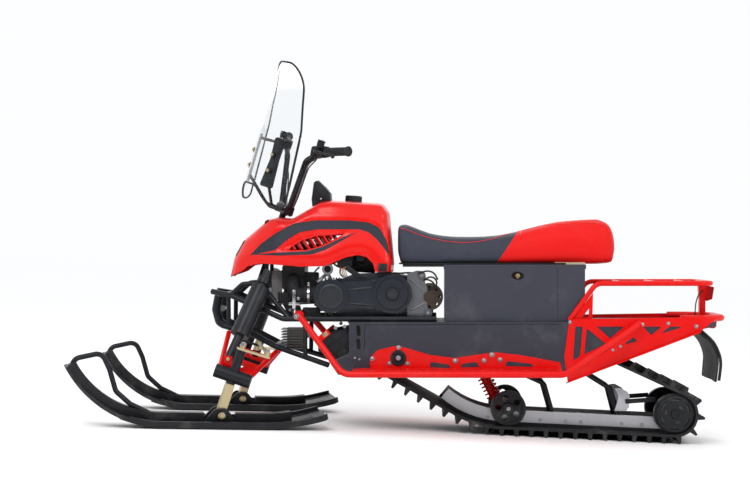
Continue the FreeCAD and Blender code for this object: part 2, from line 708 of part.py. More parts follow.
def make_rack():
    y = size("rack_y")
    z = size("rack_z")
    rear = size("rack_rear")
    hoop = [(-650, y, 482.5), (-754, y, z), (rear, y, z), (rear, -y, z), (-754, -y, z),
            (-650, -y, 482.5)]
    shapes = [tube("rack_hoop", hoop, "rack_d", 45)]
    for index, x in enumerate((-860, -990, -1110)):
        shapes.append(rod(f"rack_bar_{index}", (x, -y, z), (x, y, z), "sizes.rack_d / 2 - 2"))
    gusset = [(-656, 476.6, 0), (-739, 476.6, 0), (-742, 590, 0)]
    for side_name, sign in SIDES:
        sheet_body = side_pad(f"rack_gusset_{side_name}", gusset, "sizes.sheet",
                              holes=[[(-700, 494, 0), (-724, 494, 0), (-726, 528, 0)]])
        sheet_body.Placement = Placement(Vector(0, sign * y, 0), Rotation())
        shapes.append(sheet_body)
    keep(fuse("rack", shapes), "rack", CHASSIS)


def make_tail():
    """Rear bumper with the hitch tongue, the lamp bracket, the lamp and the mud flap."""
    y = tunnel_half() - 20
    z = size("tail_tube_z")
    rear = size("tail_rear")
    hoop = tube("tail_hoop", [(-1080, y, z), (-1165, y, z), (rear, 120, z), (rear, -120, z),
                              (-1165, -y, z), (-1080, -y, z)],
                "tail_tube_d", 50)
    pin_x = rear + 22
    pin_z = z - size("hitch_drop")
    tongue = side_pad("hitch_lug", [(pin_x - 22, z, 0), (pin_x + 14, z, 0),
                                    (pin_x + 14, pin_z - 18, 13), (pin_x - 18, pin_z - 18, 13)],
                      "sizes.hitch_thick")
    pin = rod("hitch_hole", (pin_x, -40, pin_z), (pin_x, 40, pin_z), "sizes.hitch_d / 2")
    joined = fuse("tail_joined", [hoop, tongue])
    keep(cut("rear_bumper", joined, pin), "rear_bumper", CHASSIS)
    post = side_pad("lamp_post", [(-1178, 614, 0), (-1218, 614, 0), (-1206, 551, 0),
                                  (-1206, 476.3, 0), (-1182, 476.3, 0), (-1182, 551, 0)], "30")
    keep(post, "lamp_bracket", CHASSIS)
    lamp = side_pad("lamp_box", [(-1218.6, 612, 0), (-1236, 608, 4), (-1228, 560, 4),
                                 (-1207.2, 553, 0)], "90")
    keep(lamp, "tail_lamp", CHASSIS)
    flap = side_pad("flap", [(-1128, 472.7, 0), (-1138, 472.7, 0), (-1150, 440, 30),
                             (-1214, 388, 60), (-1239, 316, 60), (-1233, 237, 0),
                             (-1223, 237, 0), (-1229, 315, 50), (-1206, 382, 50),
                             (-1142, 434, 20)], "370")
    keep(flap, "mud_flap", CHASSIS)


HINGE_PLACES = [-260.0, -580.0]


def seat_hinge():
    """Seat hinge axis along the vehicle, outside the box's right wall: its y and z."""
    y = -size("box_y") - size("hinge_out") - size("hinge_d") / 2
    return y, size("box_top") - size("hinge_drop")


def make_box():
    front = size("box_front")
    rear = size("box_rear")
    low = size("tunnel_top") + size("plate_gap")
    top = size("box_top")
    y = size("box_y")
    wall = size("box_wall")
    outside = block("box_outside", (rear, -y, low), (front - rear, 2 * y, top - low))
    inside = block("box_inside", (rear + wall, -y + wall, low + wall),
                   (front - rear - 2 * wall, 2 * (y - wall), top - low))
    shapes = [cut("box_shell", outside, inside)]
    hinge_y, hinge_z = seat_hinge()
    half = size("hinge_long") / 2
    for index, x in enumerate(HINGE_PLACES):
        start = x - half
        shapes.append(rod(f"box_knuckle_{index}", (start, hinge_y, hinge_z),
                          (start + half - size("plate_gap"), hinge_y, hinge_z),
                          "sizes.hinge_d / 2"))
        shapes.append(block(f"box_leaf_{index}", (start, hinge_y, hinge_z - 2.5),
                            (half - size("plate_gap"), -y - hinge_y, 5)))
    keep(fuse("box_all", shapes), "seat_box", CHASSIS)


def make_seat():
    low = size("box_top") + size("lid_gap")
    thick = size("seat_base")
    outline = [(18, 712, 14), (16, 851, 18), (-35, 855, 12), (-150, 812, 60), (-263, 800, 90),
               (-381, 806, 60), (-617, 861, 60), (-774, 872, 30), (-812, 868, 20),
               (-832, 820, 20), (-835, 728, 14), (-640, low + thick, 4), (0, low + thick, 4)]
    pad = side_pad("seat_pad", outline, "sizes.seat_y * 2")
    keep(pad, "seat_pad", CHASSIS)
    y = size("seat_y")
    hinge_y, hinge_z = seat_hinge()
    shapes = [block("seat_board", (-640, hinge_y, low), (640, y - 10 - hinge_y, thick - 0.5))]
    half = size("hinge_long") / 2
    for index, x in enumerate(HINGE_PLACES):
        shapes.append(rod(f"seat_knuckle_{index}", (x, hinge_y, hinge_z),
                          (x + half, hinge_y, hinge_z), "sizes.hinge_d / 2"))
        shapes.append(block(f"seat_leaf_{index}", (x, hinge_y, hinge_z),
                            (half, 3, low - hinge_z + 1)))
    keep(fuse("seat_base_all", shapes), "seat_base", CHASSIS)


def hood_form(name, inset):
    """Solid of the hood: tapered plan outline cut by the side outline, drawn in by an inset."""
    low = size("hood_low")
    wide = size("hood_y") - inset
    nose = size("hood_nose_y") - inset
    rear = size("hood_rear_y") - inset
    tip = 706 - inset
    back = 30 + inset
    plan = [(tip, nose * 0.55, 60), (tip - 60, nose, 60), (500, wide, 120), (250, wide, 120),
            (back, rear, 30), (back, -rear, 30), (250, -wide, 120), (500, -wide, 120),
            (tip - 60, -nose, 60), (tip, -nose * 0.55, 60)]
    body = doc.addObject("PartDesign::Body", name)
    sketch = add_sketch(body, name + "_plan", "XY_Plane", outline_edges(plan), "sizes.hood_low")
    pad = body.newObject("PartDesign::Pad", name + "_pad")
    pad.Profile = sketch
    pad.Length = 330
    pad.setExpression("TaperAngle", "-sizes.hood_taper")
    side = [(694 - inset, 652, 0), (676 - inset, 725, 30), (640 - inset, 796 - inset, 40),
            (538, 881 - inset, 40), (499, 889 - inset, 20), (441, 884 - inset, 20),
            (331, 950 - inset, 50), (285, 956 - inset, 20), (80, 944 - inset, 34),
            (54 + inset, 905, 30), (36 + inset, 705, 10), (52 + inset, 668, 8),
            (92, 668, 8), (130, 712, 20), (170, 738, 30), (226, 726, 30), (300, 694, 60),
            (402, 692, 60), (550, 704, 40), (612, 694, 20), (640, 672, 10)]
    if inset:
        # The hollow runs out through the open lower edge.
        side = side[:11] + [(36 + inset, 500, 0), (694 - inset, 500, 0)]
    profile = side_pad(name + "_side", side, "2 * sizes.hood_y + 20")
    return common(name + "_form", [body, profile])


def make_hood():
    outside = hood_form("hood_outer", 0)
    inside = hood_form("hood_inner", size("hood_wall"))
    rake = math.radians(size("rake"))
    reach = 90
    lean = Vector(-math.sin(rake), 0, math.cos(rake)) * reach
    middle = Vector(size("column_x"), 0, size("column_z"))
    opening = rod("column_opening", middle - lean, middle + lean, "44")
    gap = size("plate_gap")
    glass = []
    windows = []
    for side_name, sign in SIDES:
        for name, group, extra in [("lamp_glass", glass, 0), ("lamp_window", windows, gap)]:
            rows = [(720, 728 - extra, 0), (720, 796 + extra, 0), (606 - extra, 796 + extra, 0),
                    (652 - extra, 736 - extra, 0)]
            item = side_pad(f"{name}_{side_name}", rows, f"100 + 2 * {extra}")
            item.Placement = Placement(Vector(0, sign * 74, 0), Rotation())
            group.append(item)
    shell = cut("hood_shell", outside, inside)
    vent = side_pad("vent", [(435, 758, 0), (390, 800, 14), (183, 821, 0), (297, 775, 20),
                             (366, 758, 14)], "600")
    slats = []
    for row in range(6):
        slat = block(f"slat_{row}", (-5, -305, -50), (10, 610, 100))
        slat.Placement = Placement(Vector(258 + 30 * row, 0, 790), turn_y(-58)) * slat.Placement
        slats.append(slat)
    core = block("vent_core", (100, -60, 700), (400, 120, 200))
    openings = cut("vent_openings", vent, fuse("slats", slats + [core]))
    open_shell = cut("hood_open", shell, opening)
    vented = cut("hood_vented", open_shell, openings)
    keep(cut("fairing", vented, fuse("lamp_windows", windows)), "fairing", CHASSIS)
    lens = common("lamp_lens", [outside, fuse("lamp_pair", glass)])
    keep(lens, "headlamps", CHASSIS)
    skin = hood_form("hood_skin", -size("plate_gap"))
    dash = side_pad("dash_pod", [(357, 1031, 4), (341, 1039, 4), (289, 987, 4), (285, 940, 0),
                                 (330, 930, 0), (364, 920, 0)], "120")
    keep(cut("dash_cut", dash, skin), "dash", CHASSIS)
    cap_base = rod("cap", (202, 0, 940), (199.6, 0, 975.4), "34")
    keep(cut("cap_cut", cap_base, skin), "tank_cap", CHASSIS)


def make_engine():
    """Open engine bay: crankcase, belt cover, brake disc, chain case, exhaust and intake."""
    low = size("tunnel_top") + size("cross_d") / 2 + size("frame_d") / 2 + 2 * size("plate_gap")
    y = size("engine_y")
    gap = size("plate_gap")
    case = side_pad("case", [(250, low, 20), (250, 640, 30), (200, 660, 20), (60, 668, 30),
                             (-80, 640, 30), (-85, low, 20)], "sizes.engine_y * 2 - 60")
    barrel = rod("barrel", (240, 0, 572), (336, 0, 572), "62")
    fins = [rod(f"barrel_fin_{row}", (256 + 11 * row, 0, 572), (260 + 11 * row, 0, 572), "74")
            for row in range(6)]
    head = side_pad("head", [(324, 512, 10), (347, 512, 10), (347, 632, 10), (324, 632, 10)], "130")
    shroud = rod("fan_shroud", (39, 30 - y, 585), (39, -16 - y, 585), "80")
    fan_eye = rod("fan_eye", (39, -15 - y, 585), (39, -30 - y, 585), "40")
    shroud_cut = cut("fan_shroud_cut", shroud, fan_eye)
    keep(fuse("case_all", [case, barrel, head, shroud_cut] + fins), "engine_case", CHASSIS)
    face_y = y - 30 + gap
    # Raised rounds of the belt cover: x, z, radius, outward end.
    rounds = [(281, 577, 66, 26), (281, 577, 52, 32), (39, 585, 76, 22), (39, 585, 60, 30),
              (39, 585, 24, 37)]
    cover = [rod(f"cover_round_{index}", (x, face_y, z), (x, y + out, z), str(radius))
             for index, (x, z, radius, out) in enumerate(rounds)]
    link = side_pad("belt_case", [(281, 520, 0), (281, 636, 0), (160, 634, 40), (39, 658, 0),
                                  (39, 512, 0), (160, 530, 40)], "40")
    link.Placement = Placement(Vector(0, face_y + 20, 0), Rotation())
    rim = side_pad("cover_rim", [(352, 530, 40), (352, 624, 40), (250, 646, 40), (110, 640, 40),
                                 (20, 665, 40), (-62, 630, 30), (-62, 530, 30), (20, 505, 40),
                                 (110, 524, 40), (250, 510, 40)], "8")
    rim.Placement = Placement(Vector(0, face_y + 4, 0), Rotation())
    cap = rod("cover_ear", (-80, face_y, 520), (-80, face_y + 8, 520), "13")
    bridge = block("cover_ear_link", (-84, face_y, 512), (40, 8, 16))
    keep(fuse("variator_cover", cover + [link, rim, cap, bridge]), "variator_cover", CHASSIS)
    shaft_x = -105
    shaft_z = 573
    case_y = tunnel_half() + 2 * gap + size("sheet")
    shaft = rod("shaft_bar", (shaft_x, -case_y + gap, shaft_z), (shaft_x, 168, shaft_z), "12")
    hub = rod("disc_hub", (shaft_x, 149, shaft_z), (shaft_x, 164, shaft_z), "24")
    disc = rod("disc_plate", (shaft_x, 154, shaft_z), (shaft_x, 158, shaft_z), "54")
    holes = [rod(f"disc_hole_{index}", (shaft_x + 39 * math.cos(index * math.pi / 4), 140,
                                        shaft_z + 39 * math.sin(index * math.pi / 4)),
                 (shaft_x + 39 * math.cos(index * math.pi / 4), 160,
                  shaft_z + 39 * math.sin(index * math.pi / 4)), "5") for index in range(8)]
    disc_cut = cut("disc_cut", disc, fuse("disc_holes", holes))
    keep(fuse("brake_disc_all", [shaft, hub, disc_cut]), "brake_disc", CHASSIS)
    drive_x = 15
    drive_z = 334
    ends = [rod("chain_high", (shaft_x, -case_y, shaft_z), (shaft_x, -case_y - 44, shaft_z), "46"),
            rod("chain_low", (drive_x, -case_y, drive_z), (drive_x, -case_y - 44, drive_z), "36")]
    body = side_pad("chain_body", [(shaft_x - 42, shaft_z - 16, 0), (shaft_x + 38, shaft_z + 24, 0),
                                   (drive_x + 33, drive_z + 14, 0), (drive_x - 31, drive_z - 18, 0)],
                    "38")
    body.Placement = Placement(Vector(0, -case_y - 20, 0), Rotation())
    keep(fuse("chain_all", ends + [body]), "chain_case", CHASSIS)
    pipe = tube("exhaust_pipe", [(347 + gap, -20, 560), (410, -20, 560), (430, -90, 540), (430, -225, 540), (300, -245, 545)],
                "rack_d", 34)
    muffler = rod("muffler", (330, -245, 545), (90, -245, 560), "46")
    tail_pipe = rod("muffler_tail", (95, -245, 560), (60, -245, 562), "12")
    keep(fuse("exhaust_all", [pipe, muffler, tail_pipe]), "exhaust", CHASSIS)
    back = 383 + size("cross_d") / 2 + gap
    core = [block("cooler_core", (back, -40, 360), (72, 80, 85))]
    for row in range(8):
        core.append(block(f"fin_{row}", (back + 8, -55, 361 + 11 * row), (86, 110, 4)))
    keep(fuse("cooler_all", core), "cooler", CHASSIS)
    airbox = side_pad("airbox_side", [(390, 600, 8), (480, 600, 8), (480, 698, 12), (390, 698, 12)],
                      "200")
    throat = rod("throat", (440, 96, 572), (376, 96, 572), "24")
    elbow = rod("throat_rise", (440, 96, 572), (440, 96, 610), "20")
    across = rod("throat_across", (392, 40, 572), (392, 104, 572), "19")
    flange = rod("throat_flange", (347 + gap, 40, 572), (404, 40, 572), "21")
    keep(fuse("airbox_all", [airbox, throat, elbow, across, flange]), "airbox", CHASSIS)


def make_struts():
    """Covered coil-over struts from the towers to the lower arms."""
    for side_name, sign in SIDES:
        top, low = [Vector(*end) for end in strut_ends(sign)]
        shapes = []
        # Columns: start share, end share, radius.
        rows = [(0.07, 0.30, "sizes.strut_top_r"), (0.25, 0.755, "sizes.strut_cover_d / 2"),
                (0.70, 1.0, "sizes.strut_rod_d / 2")]
        for index, (start, end, radius) in enumerate(rows):
            first = top + (low - top) * start
            last = top + (low - top) * end
            shapes.append(rod(f"strut_{side_name}_{index}", first, last, radius))
        keep(fuse(f"strut_{side_name}", shapes), f"strut_{side_name}", CHASSIS)


def make_arms():
    """Suspension arms with the kingpin housing and its cross bush at their outer end."""
    rake = math.radians(size("rake"))
    up = Vector(-math.sin(rake), 0, math.cos(rake))
    ahead = Vector(math.cos(rake), 0, math.sin(rake))
    for side_name, sign in SIDES:
        king = Vector(size("king_x"), sign * size("king_y"), size("king_z"))
        half = size("bush_long") / 2
        bush = rod(f"bush_{side_name}", king - ahead * half, king + ahead * half,
                   "sizes.bush_d / 2")
        top = king + up * (size("arm_level") - 1)
        low = king - up * 30
        housing = rod(f"housing_{side_name}", low, top, "sizes.housing_d / 2")
        front = tube(f"arm_front_{side_name}", [(690, sign * 118, 430.0), king + ahead * (half - 16)],
                     "rack_d")
        rear = tube(f"arm_rear_{side_name}", [(503, sign * 118, 353.1), king - ahead * (half - 16)],
                    "rack_d")
        bore = rod(f"arm_bore_{side_name}", king - up * 60, king + up * 140,
                   "sizes.king_d / 2 + sizes.king_play")
        spindle = fuse(f"spindle_solid_{side_name}", [bush, housing])
        keep(cut(f"spindle_cut_{side_name}", spindle, bore), f"spindle_housing_{side_name}", CHASSIS)
        ends = [[Vector(690, sign * 118, 430), king + ahead * (half - 16)],
                [Vector(503, sign * 118, 353.1), king - ahead * (half - 16)]]
        corners = [start + (end - start) * share for start, end in ends for share in (0.55, 0.86)]
        f_in, f_out, r_in, r_out = corners
        normal = (f_out - f_in).cross(r_out - f_in).normalize()
        flat = [f_in, f_out, r_out, r_in - normal * (r_in - f_in).dot(normal)]
        web = doc.addObject("Part::Feature", f"arm_web_{side_name}")
        face = Part.Face(Part.makePolygon(flat + [flat[0]]))
        web.Shape = face.extrude(normal * (5 if normal.z > 0 else -5))
        middle = (flat[0] + flat[1] + flat[2] + flat[3]) * 0.25
        window = rod(f"arm_window_{side_name}", middle - normal * 20, middle + normal * 20, "18")
        room = [rod(f"arm_room_{side_name}", king - ahead * (half + 5), king + ahead * (half + 5),
                    "sizes.bush_d / 2 + sizes.plate_gap"),
                rod(f"arm_room_up_{side_name}", low - up * 10, top + up * 10,
                    "sizes.housing_d / 2 + sizes.plate_gap")]
        red = fuse(f"arm_solid_{side_name}", [front, rear, cut(f"web_cut_{side_name}", web, window)])
        keep(cut(f"arm_cut_{side_name}", red, fuse(f"arm_rooms_{side_name}", room)),
             f"suspension_arm_{side_name}", CHASSIS)


def make_legs():
    """Steered legs, their arms, tie rods and skis, each side with its own raked axis."""
    level = size("arm_level")
    length = size("arm_long")
    thick = size("arm_thick")
    gap = size("plate_gap")
    for side_name, sign in SIDES:
        place = steering_frame(size("king_x"), sign * size("king_y"), size("king_z"), SKI_TURN)
        pin = rod(f"kingpin_{side_name}", (0, 0, -40), (0, 0, level + 20), "sizes.king_d / 2")
        side = size("leg_side")
        below = size("pivot_drop") + size("leg_below")
        leg = block(f"leg_post_{side_name}", (-side / 2, -side / 2, -below),
                    (side, side, below - 32))
        arm_z = level + gap
        arm = block(f"steer_arm_{side_name}", (-length - 12, -12, arm_z), (length + 30, 24, thick))
        joined = fuse(f"leg_all_{side_name}", [pin, leg, arm])
        drop = size("pivot_drop")
        bore = rod(f"leg_bore_{side_name}", (0, -side, -drop), (0, side, -drop),
                   "sizes.pivot_d / 2 + sizes.king_play")
        keep(cut(f"leg_cut_{side_name}", joined, bore), f"leg_{side_name}", place)
        pivot = place * Placement(Vector(0, 0, -drop), Rotation())
        level_turn = size("rake") - size("nose_down") + size("ski_trim")
        ski_place = pivot * Placement(Vector(), turn_y(level_turn))
        make_ski(side_name, ski_place)


def ski_band(name, low, high, start, end_angle, width, y=0.0):
    """Strip of the ski between two heights: upturned tail, flat sole and curved front."""
    bend = size("ski_bend")
    flat = size("ski_flat")
    rise = size("ski_tail_bend")
    heel = size("ski_heel")
    angle = math.radians(end_angle)
    tail = math.asin((heel - start) / rise)

    def on_bend(height, turn):
        reach = bend - height
        return Vector(flat + reach * math.sin(turn), 0, bend - reach * math.cos(turn))

    def on_tail(height, turn):
        reach = rise - height
        return Vector(heel - reach * math.sin(turn), 0, rise - reach * math.cos(turn))
    edges = [Part.Arc(on_tail(low, tail), on_tail(low, tail / 2), on_tail(low, 0)),
             Part.LineSegment(on_tail(low, 0), on_bend(low, 0)),
             Part.Arc(on_bend(low, 0), on_bend(low, angle / 2), on_bend(low, angle)),
             Part.LineSegment(on_bend(low, angle), on_bend(high, angle)),
             Part.Arc(on_bend(high, angle), on_bend(high, angle / 2), on_bend(high, 0)),
             Part.LineSegment(on_bend(high, 0), on_tail(high, 0)),
             Part.Arc(on_tail(high, 0), on_tail(high, tail / 2), on_tail(high, tail)),
             Part.LineSegment(on_tail(high, tail), on_tail(low, tail))]
    face = Part.Face(Part.Wire([edge.toShape() for edge in edges]))
    strip = doc.addObject("Part::Feature", name)
    shape = face.extrude(Vector(0, width, 0))
    shape.translate(Vector(0, y - width / 2, 0))
    strip.Shape = shape
    return strip


def make_ski(side_name, place):
    """Ski drawn with its keel on z = 0 and its pivot bolt at x = 0."""
    keel = size("keel_high")
    sheet_thick = size("ski_sheet")
    width = size("ski_width")
    tail = size("ski_tail")
    half = width / 2
    strips = [ski_band(f"ski_sole_{side_name}", keel, keel + sheet_thick, tail, 60, width),
              ski_band(f"ski_keel_{side_name}", 0, keel + 4, tail + 200, 20, 10),
              ski_band(f"ski_spine_{side_name}", keel, 57, tail + 130, 60, 30)]
    for index, y in enumerate((half - 5, 5 - half)):
        strips.append(ski_band(f"ski_lip_{side_name}_{index}", keel, keel + 24, tail, 60, 10, y))
    whole = fuse(f"ski_strips_{side_name}", strips)
    plan = doc.addObject("PartDesign::Body", f"ski_plan_{side_name}")
    tip = size("ski_tip_y")
    outline = [(tail - 5, half, 40), (300, half, 200), (640, tip, 40), (640, -tip, 40),
               (300, -half, 200), (tail - 5, -half, 40)]
    sketch = add_sketch(plan, f"ski_plan_outline_{side_name}", "XY_Plane", outline_edges(outline))
    pad = plan.newObject("PartDesign::Pad", f"ski_plan_pad_{side_name}")
    pad.Profile = sketch
    pad.Length = 300
    form = common(f"ski_form_{side_name}", [whole, plan])
    side = size("leg_side")
    cheeks = []
    inner = side / 2 + 1.5
    for index, y in enumerate((inner, -inner - 8)):
        cheek = side_pad(f"ski_cheek_{side_name}_{index}",
                         [(-70, 20, 0), (-22, 76, 20), (22, 76, 20), (70, 20, 0)], "8")
        cheek.Placement = Placement(Vector(0, y + 4, 0), Rotation())
        cheeks.append(cheek)
    slot = block(f"ski_slot_{side_name}", (-62, -inner, 25), (124, 2 * inner, 60))
    slotted = cut(f"ski_slotted_{side_name}", form, slot)
    bolt = rod(f"ski_bolt_{side_name}", (0, -inner - 20, size("ski_pivot_z")),
               (0, inner + 20, size("ski_pivot_z")), "sizes.pivot_d / 2")
    solid = fuse(f"ski_solid_{side_name}", [slotted] + cheeks + [bolt])
    shift = Placement(Vector(0, 0, -size("ski_pivot_z")), Rotation())
    keep(solid, f"ski_{side_name}", place * shift)
    loop = tube(f"loop_bar_{side_name}", [(270, 0, 50), (345, 0, 84), (402, 0, 132),
                                          (430, 0, 215), (462, 0, 276), (562, 0, 252),
                                          (574, 0, 212)], "loop_d", 34)
    keep(cut(f"loop_cut_{side_name}", loop, slotted), f"ski_loop_{side_name}", place * shift)


def make_tie_rods():
    """Rods from the central lever to the steering arms, square to the raked axes."""
    rake = math.radians(size("rake"))
    up = Vector(-math.sin(rake), 0, math.cos(rake))
    ahead = Vector(math.cos(rake), 0, math.sin(rake))
    column = Vector(size("column_x"), 0, size("column_z"))
    level = size("arm_level")
    length = size("arm_long")
    lever = length * size("steer_ratio")
    thick = size("arm_thick")
    for side_name, sign in SIDES:
        king = Vector(size("king_x"), sign * size("king_y"), size("king_z"))
        axis_gap = (king - column).dot(ahead)
        inner_x = -lever + length - axis_gap
        inner_y = -sign * size("king_y")
        frame = steering_frame(king.x, king.y, king.z, SKI_TURN)
        pin = frame * Placement(Vector(-length, 0, 0), turn_z(-SKI_TURN))
        eye = size("eye_half")
        seat_gap = 0.4
        offset = size("plate_gap") + thick + seat_gap + eye if sign > 0 else -seat_gap - eye
        mid = level + offset
        shape = [tube(f"rod_bar_{side_name}", [(0, 0, mid), (inner_x, inner_y, mid)], "rod_d"),
                 rod(f"rod_eye_{side_name}", (0, 0, mid - eye), (0, 0, mid + eye),
                     "sizes.rod_end_d / 2"),
                 rod(f"rod_end_{side_name}", (inner_x, inner_y, mid - eye),
                     (inner_x, inner_y, mid + eye), "sizes.rod_end_d / 2")]
        keep(fuse(f"tie_rod_{side_name}", shape), f"tie_rod_{side_name}", pin)


BAR_POINTS = [(0, 0, 25), (0, 45, 25), (22, 112, 235), (12, 204, 283),
              (-40, size("bar_half"), 318)]


def make_steering():
    """Column, bar, grips, controls and screen. Local x is ahead, z is along the column."""
    rake = math.radians(size("rake"))
    up = Vector(-math.sin(rake), 0, math.cos(rake))
    king = Vector(size("king_x"), 0, size("king_z"))
    column = Vector(size("column_x"), 0, size("column_z"))
    level = (king - column).dot(up) + size("arm_level")
    thick = size("arm_thick")
    lever = size("arm_long") * size("steer_ratio")
    shaft = rod("shaft", (0, 0, level - 10), (0, 0, 30), "sizes.column_d / 2")
    arm = block("lever", (-lever - 12, -12, level + size("plate_gap")), (lever + 24, 24, thick))
    clamp = block("bar_clamp", (-20, -55, 8), (40, 110, 34))
    left = tube("bar_left", BAR_POINTS, "bar_d", 30)
    right = tube("bar_right", mirrored_points(BAR_POINTS), "bar_d", 30)
    keep(fuse("handlebar", [shaft, arm, clamp, left, right]), "handlebar", STEERING)
    inner = Vector(12, 204, 283)
    outer = Vector(-40, size("bar_half"), 318)
    along = (outer - inner).normalize()
    start = outer - along * (size("grip_long") - 3)
    end = outer + along * 3
    grips = []
    for side_name, sign in SIDES:
        first = Vector(start.x, sign * start.y, start.z)
        last = Vector(end.x, sign * end.y, end.z)
        grip = rod(f"grip_{side_name}", first, last, "sizes.grip_d / 2")
        core = rod(f"grip_core_{side_name}", first - (last - first), last - (last - first) * 0.023,
                   "sizes.bar_d / 2")
        grips.append(cut(f"grip_cut_{side_name}", grip, core))
    both = doc.addObject("Part::Compound", "grip_pair")
    both.Links = grips
    keep(both, "grips", STEERING)
    make_screen()


def screen_roll(name, inset):
    """Solid cylinder of the screen's rolled curve, drawn in by an inset."""
    roll = doc.addObject("Part::Cylinder", name)
    roll.setExpression("Radius", f"sizes.screen_curve - {inset}")
    roll.Height = 700
    roll.Placement = Placement(Vector(-size("screen_curve"), 0, -40), Rotation())
    return roll


def rolled_band(name, outline, outer, inner):
    """Part of the rolled sheet between two insets, inside an outline of y and height."""
    body = doc.addObject("PartDesign::Body", name + "_outline")
    sketch = add_sketch(body, name + "_sketch", "YZ_Plane", outline_edges(outline))
    pad = body.newObject("PartDesign::Pad", name + "_pad")
    pad.Profile = sketch
    pad.Length = 500
    pad.Midplane = True
    shell = cut(name + "_shell", screen_roll(name + "_outer", outer),
                screen_roll(name + "_inner", inner))
    return common(name + "_sheet", [body, shell])


def make_screen():
    """Clear rolled screen with rounded top and two lower lobes, and its two carriers."""
    thick = size("screen_thick")
    gap = size("plate_gap")
    half = [(0, 582, 0), (150, 582, 130), (203, 331, 200), (221, 14, 28), (170, 14, 26),
            (66, 80, 80), (0, 80, 0)]
    outline = half[:-1] + [(-y, z, r) for y, z, r in reversed(half[1:-1])]
    place = STEERING * Placement(Vector(size("screen_ahead"), 0, 0), turn_y(size("screen_lean")))
    keep(rolled_band("screen", outline, 0, thick), "screen", place)
    inner = thick + gap
    shapes = []
    for side_name, sign in SIDES:
        rows = [(86, 84, 10), (152, 84, 10), (146, 200, 30), (150, 285, 14), (96, 285, 14),
                (104, 200, 30)]
        band = rolled_band(f"carrier_{side_name}", [(sign * y, z, r) for y, z, r in rows],
                           inner, inner + 4)
        band.Placement = Placement(Vector(size("screen_ahead"), 0, 0), turn_y(size("screen_lean")))
        shapes.append(band)
        low_arm = [(20 + gap, sign * 32, 25), (70, sign * 32, 25), (146, sign * 118, 110)]
        shapes.append(tube(f"carrier_arm_{side_name}", low_arm, "stay_d", 22))
    cross = tube("carrier_cross", [(156, 108, 268), (150, 0, 268), (156, -108, 268)], "stay_d", 60)
    shapes.append(cross)
    keep(fuse("bracket_all", shapes), "screen_bracket", STEERING)


def make_controls():
    """Switch housings, lever mounts and levers beside the grips."""
    inner = Vector(12, 204, 283)
    outer = Vector(-40, size("bar_half"), 318)
    along = (outer - inner).normalize()
    ahead = Vector(along.y, -along.x, 0).normalize()
    start = outer - along * (size("grip_long") + 4)
    for side_name, sign in SIDES:
        def at(out, front, rise):
            spot = start + along * out + ahead * front + Vector(0, 0, rise)
            return Vector(spot.x, sign * spot.y, spot.z)
        box = rod(f"switch_{side_name}", at(-1, 0, 0), at(-32, 0, 0), "23")
        bore = rod(f"switch_bore_{side_name}", at(20, 0, 0), at(-60, 0, 0),
                   "sizes.bar_d / 2 + sizes.plate_gap")
        shell = cut(f"switch_shell_{side_name}", box, bore)
        mount = rod(f"lever_mount_{side_name}", at(-18, 16, -1), at(-18, 42, -6), "12")
        body = rod(f"fluid_box_{side_name}", at(-17, 20, 14), at(-17, 24, 36), "15")
        lever = tube(f"lever_{side_name}", [at(-22, 40, -6), at(0, 52, -12), at(66, 50, -24),
                                            at(96, 40, -30)], "lever_d", 26)
        tip = doc.addObject("Part::Sphere", f"lever_tip_{side_name}")
        tip.Radius = 8
        tip.Placement = Placement(at(98, 39, -31), Rotation())
        keep(fuse(f"controls_all_{side_name}", [shell, mount, body, lever, tip]),
             f"controls_{side_name}", STEERING)


make_track()
make_wheels()
make_slide_rails()
make_skid_arms()
make_tunnel()
make_footboards()
make_tail_plates()
make_frame()
make_bumper()
make_rack()
make_tail()
make_box()
make_seat()
make_hood()
make_engine()
make_struts()
make_arms()
make_legs()
make_tie_rods()
make_steering()
make_controls()
doc.recompute()

faults = [obj.Name for obj in doc.Objects if "Invalid" in obj.State or "Error" in obj.State]
if faults:
    raise RuntimeError(f"failed objects: {faults}")
bad = [obj.Label for obj in pieces if obj.Shape.isNull() or not obj.Shape.isValid()]
if bad:
    raise RuntimeError(f"bad shapes: {bad}")
for obj in pieces:
    obj.Shape.exportStep(f"parts/{obj.Label}.step")
    box = obj.Shape.optimalBoundingBox(False)
    print(f"{obj.Label:24s} solids {len(obj.Shape.Solids)} volume {obj.Shape.Volume / 1000:.1f} "
          f"x {box.XMin:.0f} {box.XMax:.0f} y {box.YMin:.0f} {box.YMax:.0f} "
          f"z {box.ZMin:.1f} {box.ZMax:.1f}")
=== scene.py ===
import json
import math

import bmesh
import bpy
from mathutils import Matrix, Vector
from mathutils.bvhtree import BVHTree
from mathutils.geometry import delaunay_2d_cdt


